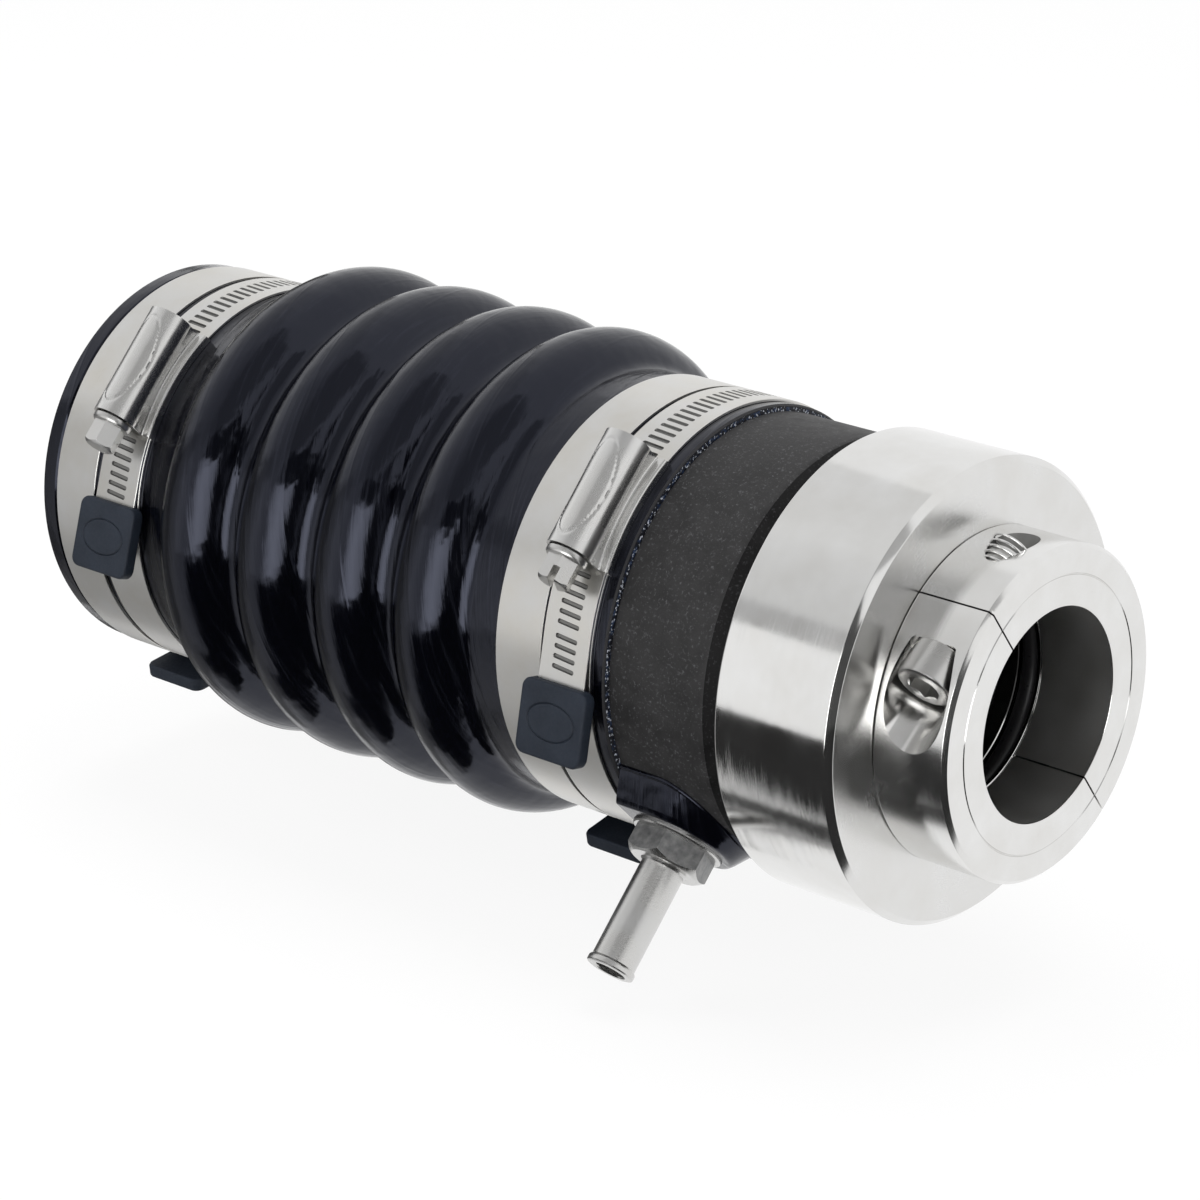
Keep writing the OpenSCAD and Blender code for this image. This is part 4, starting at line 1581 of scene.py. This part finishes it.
@dataclass
class WaterFitting:
    """The pipe with a hexagon that brings cooling water to the carbon ring."""

    finishes: Finishes
    ring: CarbonRing
    shoulder: float = 10.0
    shoulder_thick: float = 1.2
    hex_across: float = 15.9
    hex_height: float = 5.5
    hex_turn: float = 13.0
    stub: float = 5.4
    stub_length: float = 12.5
    pipe: float = 4.75
    pipe_length: float = 24.1
    bead: float = 5.2
    bead_length: float = 1.8

    def build(self) -> list[bpy.types.Object]:
        """Makes the fitting.

        Returns:
            The one finished piece.
        """
        name = "water_pipe_fitting"
        hex_top = self.shoulder_thick + self.hex_height
        tip = hex_top + self.pipe_length
        corner, bore, foot = self.hex_across / math.sqrt(3), self.ring.port, -self.stub_length
        lower = stand([
            (foot, bore), (foot, self.stub - 0.6), (foot + 0.6, self.stub),
            (0.0, self.stub), (0.0, self.shoulder - 0.25), (0.25, self.shoulder),
            (self.shoulder_thick - 0.35, self.shoulder), (self.shoulder_thick - 0.05, self.shoulder - 0.3),
            (self.shoulder_thick + 0.1, self.shoulder - 1.2), (self.shoulder_thick + 0.1, bore),
        ], name, 96)
        hexagon = prism("hexagon", regular(6, corner, self.hex_turn), self.shoulder_thick - 0.2, hex_top)
        cone = stand([
            (0.0, bore), (0.0, corner - 0.5), (self.shoulder_thick + 0.35, corner + 0.3),
            (hex_top - 1.5, corner + 0.3), (hex_top - 0.3, corner - 1.25), (hex_top, corner - 1.75),
            (hex_top, bore),
        ], "cone", 96)
        combine(hexagon, cone, Boolean.KEEP_COMMON)
        soften(hexagon, 0.12, 2, 25)
        upper = stand([
            (hex_top - 0.6, bore), (hex_top - 0.6, self.pipe + 0.7), (hex_top + 0.05, self.pipe + 0.45),
            (hex_top + 0.45, self.pipe), (tip - self.bead_length, self.pipe),
            (tip - self.bead_length + 0.35, self.bead - 0.1), (tip - self.bead_length + 0.6, self.bead),
            (tip - 0.35, self.bead), (tip - 0.1, self.bead - 0.15), (tip, self.bead - 0.45),
            (tip, bore + 0.35), (tip - 0.35, bore),
        ], "pipe", 96)
        piece = join(name, (lower, hexagon, upper))
        paint(piece, self.finishes.fitting, self.finishes.cast)
        for face in piece.data.polygons:
            x, y, z = face.center / MM
            on_flat = abs(face.normal.z) < 0.3 and math.hypot(x, y) > 0.45 * self.hex_across
            face.material_index = int(on_flat and z > self.shoulder_thick + 0.1)
        piece.data.transform(self.ring.pad_place @ Matrix.Translation((0, 0, self.ring.pad_height * MM)))
        shade(piece, 30)
        return [dress(piece, self.finishes.fitting, "carbon_side", "water_fitting")]


# Rotor and collar


@dataclass
class Rotor:
    """The polished steel ring that runs against the carbon, with its two seal rings and drive pins."""

    finishes: Finishes
    front: float = -17.5
    back: float = -46.0
    radius: float = 48.6
    bore: float = 22.475
    groove_depth: float = 2.7
    seal_bore: float = 22.3
    groove_width: float = 4.6
    groove_first: float = 3.6
    groove_pitch: float = 9.0
    bevel: float = 1.3
    pin_nodes: tuple[str, ...] = ("drive_pin_lower", "drive_pin_upper")

    def grooves(self) -> list[float]:
        """Gives the place of each groove's middle along the shaft."""
        return [self.front - self.groove_first - k * self.groove_pitch for k in range(2)]

    def build(self) -> list[bpy.types.Object]:
        """Makes the ring and its seals.

        Returns:
            The finished pieces.
        """
        b, bore, radius, front = self.bevel, self.bore, self.radius, self.front
        outline: list[Point] = [
            (self.back, radius - 0.5), (self.back + 0.15, radius - 0.15), (self.back + 0.5, radius),
            (front - b - 0.12, radius), (front - b + 0.06, radius - 0.08), (front - 0.06, radius - b + 0.05),
            (front, radius - b - 0.12), (front, bore + 0.45), (front - 0.45, bore),
        ]
        for middle in self.grooves():
            half, deep = self.groove_width / 2, bore + self.groove_depth
            outline += [
                (middle + half + 0.15, bore), (middle + half, bore + 0.15), (middle + half, deep - 0.2),
                (middle + half - 0.2, deep), (middle - half + 0.2, deep), (middle - half, deep - 0.2),
                (middle - half, bore + 0.15), (middle - half - 0.15, bore),
            ]
        outline += [(self.back + 0.8, bore), (self.back, bore + 0.8)]
        ring = lathe("rotor_ring", outline, 288)
        paint(ring, self.finishes.rotor, self.finishes.rotor_face)
        for face in ring.data.polygons:
            face.material_index = int(face.center.x > (self.front - 0.01) * MM)
        made = [dress(shade(ring, 28), self.finishes.rotor, "shaft_side", "rotor")]
        inner, outer = self.seal_bore, bore + self.groove_depth - 0.025
        for node, middle in zip(("o_ring_front", "o_ring_rear"), self.grooves()):
            half_h, half_w = (outer - inner) / 2, self.groove_width * 0.42
            seal = lathe(f"{node}_seal", [
                (middle + half_w * math.sin(a), (inner + outer) / 2 + half_h * math.cos(a))
                for a in (math.tau * k / 24 for k in range(24))
            ], 160)
            made.append(dress(shade(seal, 60), self.finishes.seal, "shaft_side", node))
        for node in self.pin_nodes:
            paint(bpy.data.objects[node], self.finishes.fastener)
        return made


@dataclass
class SplitCollar:
    """The two halves that clamp the shaft, and the screws that draw them together."""

    finishes: Finishes
    width: float = 17.5
    radius: float = 34.9
    bore: float = 22.225
    bevel: float = 0.9
    gap: float = 0.4
    turn: float = 37.0
    line_radius: float = 28.8
    bolt: float = 3.97
    bolt_length: float = 25.4
    thread_pitch: float = 1.4
    thread_size: float = 0.26
    tapped_length: float = 7.0
    tapped_from: float = 12.4
    head: float = 5.95
    head_height: float = 7.9
    socket: float = 6.35
    offset: float = 28.7625
    seat: float = 8.8
    pocket: float = 7.2

    def half(self, name: str) -> bpy.types.Object:
        """Makes the half on the side of negative Y, before it is rolled to its place.

        Args:
            name: Name of the piece.

        Returns:
            The half with its holes.
        """
        b, back, line, radius, bore = self.bevel, -self.width + 0.05, self.line_radius, self.radius, self.bore
        piece = lathe(name, [
            (back, bore + 0.1), (back, radius - b / 2), (back + 0.15, radius - b / 6), (back + b / 2, radius),
            (-b - 0.1, radius), (-b + 0.06, radius - 0.06), (-0.06, radius - b + 0.06),
            (0.0, radius - b - 0.1), (0.0, line + 0.22), (-0.22, line + 0.06),
            (-0.22, line - 0.06), (0.0, line - 0.22),
            (0.0, bore + 0.35), (-0.12, bore + 0.1), (-0.35, bore), (back + 0.1, bore),
        ], 288)
        big, parting = 3 * radius, -self.gap / 2
        keep = prism("keep", [(-big, -big), (big, -big), (big, parting), (-big, parting)], -big, big)
        combine(piece, keep, Boolean.KEEP_COMMON)
        down = Matrix.Rotation(math.radians(90), 4, "X")
        middle = -self.width / 2
        seat, pocket, clear, tapped = self.seat, self.pocket, self.bolt + 0.25, self.bolt + 0.05
        head_pocket = [(seat, 0.0), (seat, pocket - 0.4), (seat + 0.4, pocket), (big, pocket), (big, 0.0)]
        clear_hole = [(-1.0, 0.0), (-1.0, clear), (seat + 2, clear), (seat + 2, 0.0)]
        tapped_hole = [(-1.0, 0.0), (-1.0, tapped), (big, tapped), (big, 0.0)]
        holes = ((self.offset, head_pocket), (self.offset, clear_hole), (-self.offset, tapped_hole))
        for z, outline in holes:
            drill = stand(outline, "drill", 72)
            drill.data.transform(Matrix.Translation((middle * MM, 0, z * MM)) @ down)
            combine(piece, drill, Boolean.CUT)
        return piece

    def screw(self, name: str) -> bpy.types.Object:
        """Makes one socket head screw in the place of the front one, before it is rolled.

        Args:
            name: Name of the piece.

        Returns:
            The screw.
        """
        h, tip, bolt, head = self.head_height, 0.06 - self.bolt_length, self.bolt, self.head
        piece = stand([
            (tip, 0.0), (tip, bolt - 1.0), (1.0 - self.bolt_length, bolt - 0.3), (-1.2, bolt - 0.3),
            (-0.4, bolt), (0.05, bolt), (0.05, head - 0.2), (0.25, head), (h - 0.75, head),
            (h - 0.3, head - 0.2), (h, head - 0.7), (h, 0.0),
        ], name, 72)
        hexagon = prism("hexagon", regular(6, self.socket / math.sqrt(3), 12), h * 0.48, h + 1)
        combine(piece, hexagon, Boolean.CUT)
        mouth = stand([
            (h - 0.35, 0.0), (h - 0.35, self.socket / 2), (h + 0.3, self.socket / 2 + 0.65), (h + 0.3, 0.0),
        ], "mouth", 48)
        combine(piece, mouth, Boolean.CUT)
        ridge = thread("ridge", bolt - 0.32, self.thread_pitch, self.bolt_length - 9.0, self.thread_size,
                       self.finishes.fastener)
        ridge.data.transform(Matrix.Translation((0, 0, (1.0 - self.bolt_length) * MM)))
        made = join(name, (piece, ridge))
        made.data.transform(Matrix.Translation((-self.width / 2 * MM, -self.seat * MM, self.offset * MM))
                            @ Matrix.Rotation(math.radians(90), 4, "X"))
        return made

    def tapped(self, name: str) -> bpy.types.Object:
        """Makes the thread that shows at the mouth of a half's tapped hole."""
        made = thread(name, self.bolt + 0.12, self.thread_pitch, self.tapped_length, self.thread_size,
                      self.finishes.collar)
        made.data.transform(
            Matrix.Translation((-self.width / 2 * MM, -self.tapped_from * MM, -self.offset * MM))
            @ Matrix.Rotation(math.radians(90), 4, "X"))
        return made

    def build(self) -> list[bpy.types.Object]:
        """Makes both halves, both screws and the threads.

        Returns:
            The finished pieces.
        """
        made = []
        f = self.finishes
        for part, extra in (("lower", 0.0), ("upper", 180.0)):
            place = roll_matrix(self.turn + extra)
            half = self.half(f"collar_{part}_half")
            paint(half, f.collar, f.bore, f.groove)
            for face in half.data.polygons:
                _, y, z = face.center / MM
                in_bore = math.hypot(y, z) < self.bore + 0.01 and abs(face.normal.x) < 0.5
                # Faces inside the tapped hole take the dark groove steel: painted shade.
                in_tapped = all(
                    math.hypot(p.x / MM + self.width / 2, p.z / MM + self.offset) < self.bolt + 0.25
                    for p in (half.data.vertices[i].co for i in face.vertices))
                face.material_index = 2 if in_tapped else int(in_bore)
            half.data.transform(place)
            shade(half, 30)
            made.append(dress(half, f.collar, "shaft_side", f"collar_half_{part}"))
            tapped = self.tapped(f"collar_{part}_thread")
            tapped.data.transform(place)
            made.append(dress(shade(tapped, 60), f.collar, "shaft_side"))
        for part, extra in (("front", 0.0), ("back", 180.0)):
            screw = self.screw(f"collar_{part}_cap_screw")
            screw.data.transform(roll_matrix(self.turn + extra))
            shade(screw, 34)
            made.append(dress(screw, f.fastener, "shaft_side", f"collar_screw_{part}"))
        return made


# Studio


@dataclass
class Studio:
    """The pale floor, the soft lamps, the cards that the metal and the gloss mirror, and the camera."""

    floor_drop: float = 6.0
    floor_reach: float = 6.0
    floor_glow: float = 0.9
    middle: float = -0.12
    wall: float = 1.2
    card_steps: int = 12
    cloth_away: float = 0.2
    lens: float = 123.0
    camera_place: Point3 = (421.17, -624.35, 311.16)
    right: Point3 = (0.7573, 0.6531, 0.0)
    up: Point3 = (-0.2338, 0.2711, 0.9337)

    def floor(self, low: float) -> bpy.types.Object:
        """Lays the floor just under the part.

        Args:
            low: Height of the part's lowest point in metres.

        Returns:
            The floor.
        """
        height = low - self.floor_drop * MM
        bm = bmesh.new()
        flat = Matrix.Translation((0, 0, height))
        bmesh.ops.create_grid(bm, x_segments=1, y_segments=1, size=self.floor_reach, matrix=flat)
        mesh = bpy.data.meshes.new("pale_floor")
        bm.to_mesh(mesh)
        bm.free()
        piece = add_object("pale_floor", mesh)
        s = Shader("Pale floor")
        s.surface.inputs["Base Color"].default_value = rgb(0.86, 0.86, 0.86)
        s.surface.inputs["Roughness"].default_value = 0.9
        s.surface.inputs["Specular IOR Level"].default_value = 0.1
        path = s.add("ShaderNodeLightPath")
        seen = s.math("MAXIMUM", path.outputs["Is Camera Ray"],
                      s.math("MAXIMUM", path.outputs["Is Glossy Ray"], path.outputs["Is Transmission Ray"]))
        glow = s.add("ShaderNodeEmission", {"Color": rgb(1, 1, 1), "Strength": 1.0})
        share = s.math("MULTIPLY", seen, self.floor_glow)
        mix = s.add("ShaderNodeMixShader", {0: share, 1: s.surface.outputs[0], 2: glow.outputs[0]})
        s.links.new(mix.outputs[0], s.end.inputs[0])
        mesh.materials.append(s.material)
        piece.visible_glossy = False
        piece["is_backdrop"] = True
        return piece

    def world(self) -> None:
        """Sets an even pale surround that looks white to the camera and in the metal."""
        world = bpy.data.worlds.new("Studio surround")
        bpy.context.scene.world = world
        world.use_nodes = True
        nodes, links = world.node_tree.nodes, world.node_tree.links
        back = nodes["Background"]
        path = nodes.new("ShaderNodeLightPath")
        first = nodes.new("ShaderNodeMath")
        first.operation = "MAXIMUM"
        links.new(path.outputs["Is Camera Ray"], first.inputs[0])
        links.new(path.outputs["Is Glossy Ray"], first.inputs[1])
        second = nodes.new("ShaderNodeMath")
        second.operation = "MAXIMUM"
        links.new(first.outputs[0], second.inputs[0])
        links.new(path.outputs["Is Transmission Ray"], second.inputs[1])
        strength = nodes.new("ShaderNodeMapRange")
        strength.inputs[3].default_value = 0.45
        strength.inputs[4].default_value = 1.0
        links.new(second.outputs[0], strength.inputs[0])
        links.new(strength.outputs[0], back.inputs["Strength"])
        back.inputs["Color"].default_value = rgb(1, 1, 1)

    def lamp(self, name: str, place: Point3, size: Point, power: float) -> None:
        """Adds a soft box that faces the middle of the part.

        Args:
            name: Name of the lamp.
            place: Its place in metres.
            size: Its width and height in metres.
            power: Its power in watts.
        """
        data = bpy.data.lights.new(name, "AREA")
        data.shape = "RECTANGLE"
        data.size, data.size_y = size
        data.energy = power
        lamp = bpy.data.objects.new(name, data)
        lamp.visible_glossy = False
        lamp.location = place
        lamp.rotation_mode = "QUATERNION"
        aim = Vector((self.middle, 0.0, 0.0)) - Vector(place)
        lamp.rotation_quaternion = aim.to_track_quat("-Z", "Y")
        bpy.context.scene.collection.objects.link(lamp)

    def reflection(self, name: str, corners: Sequence[Sequence[Point3]], tones: Point) -> None:
        """Adds a sheet that only shows as a reflection.

        Args:
            name: Name of the sheet.
            corners: Its grid of places in metres, column by column.
            tones: Its brightness at the first column and at the last.
        """
        bm = bmesh.new()
        layer = bm.verts.layers.float.new("tone")
        grid = []
        for i, column in enumerate(corners):
            grid.append([bm.verts.new(place) for place in column])
            for vertex in grid[-1]:
                vertex[layer] = tones[0] + (tones[1] - tones[0]) * i / (len(corners) - 1)
        for left, right in zip(grid, grid[1:]):
            for k in range(len(left) - 1):
                bm.faces.new([left[k], right[k], right[k + 1], left[k + 1]])
        piece = add_object(name, mesh_from(bm, name))
        s = Shader(name)
        tone = s.add("ShaderNodeAttribute", attribute_name="tone").outputs["Fac"]
        glow = s.add("ShaderNodeEmission", {"Color": rgb(1, 1, 1), "Strength": tone})
        s.links.new(glow.outputs[0], s.end.inputs[0])
        piece.data.materials.append(s.material)
        piece.visible_camera = False
        piece.visible_diffuse = False
        piece.visible_shadow = False
        piece.visible_transmission = False
        piece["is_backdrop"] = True

    def card(self, name: str, azimuths: Point, elevations: Point, tones: Point) -> None:
        """Adds a curved reflection card far from the part.

        Args:
            name: Name of the card.
            azimuths: Where it starts and ends, in degrees from negative Y towards positive X.
            elevations: Its lower and upper edge, in degrees over the shaft.
            tones: Its brightness at its start and at its end.
        """
        def place(along: float, up: float) -> Point3:
            """Gives one place on the card, from shares of its width and height."""
            turn = math.radians(azimuths[0] + (azimuths[1] - azimuths[0]) * along)
            lift = math.radians(elevations[0] + (elevations[1] - elevations[0]) * up)
            return (self.middle + self.wall * math.cos(lift) * math.sin(turn),
                    -self.wall * math.cos(lift) * math.cos(turn), self.wall * math.sin(lift))

        shares = [k / self.card_steps for k in range(self.card_steps + 1)]
        self.reflection(name, [[place(along, up) for up in shares] for along in shares], tones)

    def cloth(self, name: str, along: Point, heights: Point, tone: float) -> None:
        """Hangs an upright dark cloth close to the part, on the camera's side.

        Args:
            name: Name of the cloth.
            along: Where it starts and ends along X, in metres.
            heights: Its upper and lower edge in metres.
            tone: Its brightness.
        """
        columns = [[(x, -self.cloth_away, z) for z in heights] for x in along]
        self.reflection(name, columns, (tone, tone))

    def camera(self) -> None:
        """Puts the camera where the photograph was taken from."""
        data = bpy.data.cameras.new("Photo camera")
        data.lens = self.lens
        data.sensor_width = 36.0
        data.sensor_fit = "HORIZONTAL"
        data.clip_start, data.clip_end = 0.05, 20.0
        camera = bpy.data.objects.new("Photo camera", data)
        right, up = Vector(self.right).normalized(), Vector(self.up).normalized()
        back = right.cross(up)
        frame = Matrix((right, up, back)).transposed().to_4x4()
        camera.matrix_world = Matrix.Translation(Vector(self.camera_place) * MM) @ frame
        bpy.context.scene.collection.objects.link(camera)
        bpy.context.scene.camera = camera

    def build(self, low: float) -> None:
        """Sets up everything round the part.

        Args:
            low: Height of the part's lowest point in metres.
        """
        scene = bpy.context.scene
        scene.view_settings.view_transform = "Standard"
        self.camera()
        self.floor(low)
        self.world()
        self.lamp("Left lamp", (-1.05, -0.75, 0.55), (0.5, 1.3), 9.0)
        self.lamp("Right lamp", (0.75, -1.15, 0.35), (0.28, 1.2), 6.0)
        self.lamp("Top lamp", (-0.1, 0.25, 1.2), (1.4, 0.9), 16.0)
        self.card("Soft box near side", (-1, 20), (-14, 26), (2.2, 3.6))
        self.card("Soft box far side", (20, 48), (-14, 22), (3.6, 2.2))
        self.card("Soft box frame, top left", (4, 28), (26, 38), (0.1, 0.1))
        self.card("Soft box frame, top right", (28, 66), (22, 35), (0.1, 0.1))
        self.card("Soft box frame, side", (48, 74), (-14, 22), (0.08, 0.08))
        self.card("Grey ceiling", (-5, 100), (38, 86), (0.42, 0.5))
        self.card("Pale ceiling", (-62, -5), (31, 86), (0.82, 0.6))
        self.card("Pale side", (-130, -62), (32, 86), (0.82, 0.85))
        self.card("Grey rail", (-50, -30), (22, 31), (0.5, 0.5))
        self.card("Pale wall", (-39, -1), (-14, 22), (1.12, 0.75))
        self.card("Pale wall, top", (-30, -1), (22, 31), (0.8, 0.75))
        self.card("Pale board", (-62, -39), (-80, 22), (0.4, 0.68))
        self.card("Pale ground", (-39, -14), (-80, -14), (0.6, 0.6))
        self.card("Outer cloth", (-130, -62), (-36, 13), (0.13, 0.15))
        self.card("Outer ground", (-104, -62), (-58, -36), (0.32, 0.35))
        self.cloth("Near dark cloth", (-0.212, 0.9), (-0.041, -1.5), 0.03)
        self.cloth("Low dark cloth", (-0.37, -0.212), (-0.3, -0.6), 0.05)


def main() -> None:
    """Builds the seal and its studio."""
    logging.basicConfig(level=logging.INFO, format="%(name)s %(message)s")
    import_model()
    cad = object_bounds()
    finishes = Finishes()
    ring = CarbonRing(finishes)
    plain, slotted = HeadShape.PLAIN_HEX, HeadShape.SLOTTED_HEX
    assemblies: Sequence[Assembly] = (
        Bellows(finishes),
        WormClamp(finishes, "a", -233.9, 44.4, Side.BACK_OF_TUBE, plain, "tube_side", 27.5, 7.3),
        WormClamp(finishes, "b", -219.7, 44.4, Side.FRONT, plain, "tube_side", 27.5, 7.3),
        WormClamp(finishes, "c", -98.6, 46.7, Side.BACK_OF_RING, slotted, "carbon_side", 33.0, 10.2),
        WormClamp(finishes, "d", -85.3, 46.7, Side.FRONT, slotted, "carbon_side", 33.0, 10.2),
        ring,
        HoseTab(finishes, ring),
        WaterFitting(finishes, ring),
        Rotor(finishes),
        SplitCollar(finishes),
    )
    for assembly in assemblies:
        pieces = assembly.build()
        log.info("%s: %d pieces", type(assembly).__name__, len(pieces))
    Studio().build(cad[0].z)
    log.info("size file written")


if __name__ == "__main__":
    main()
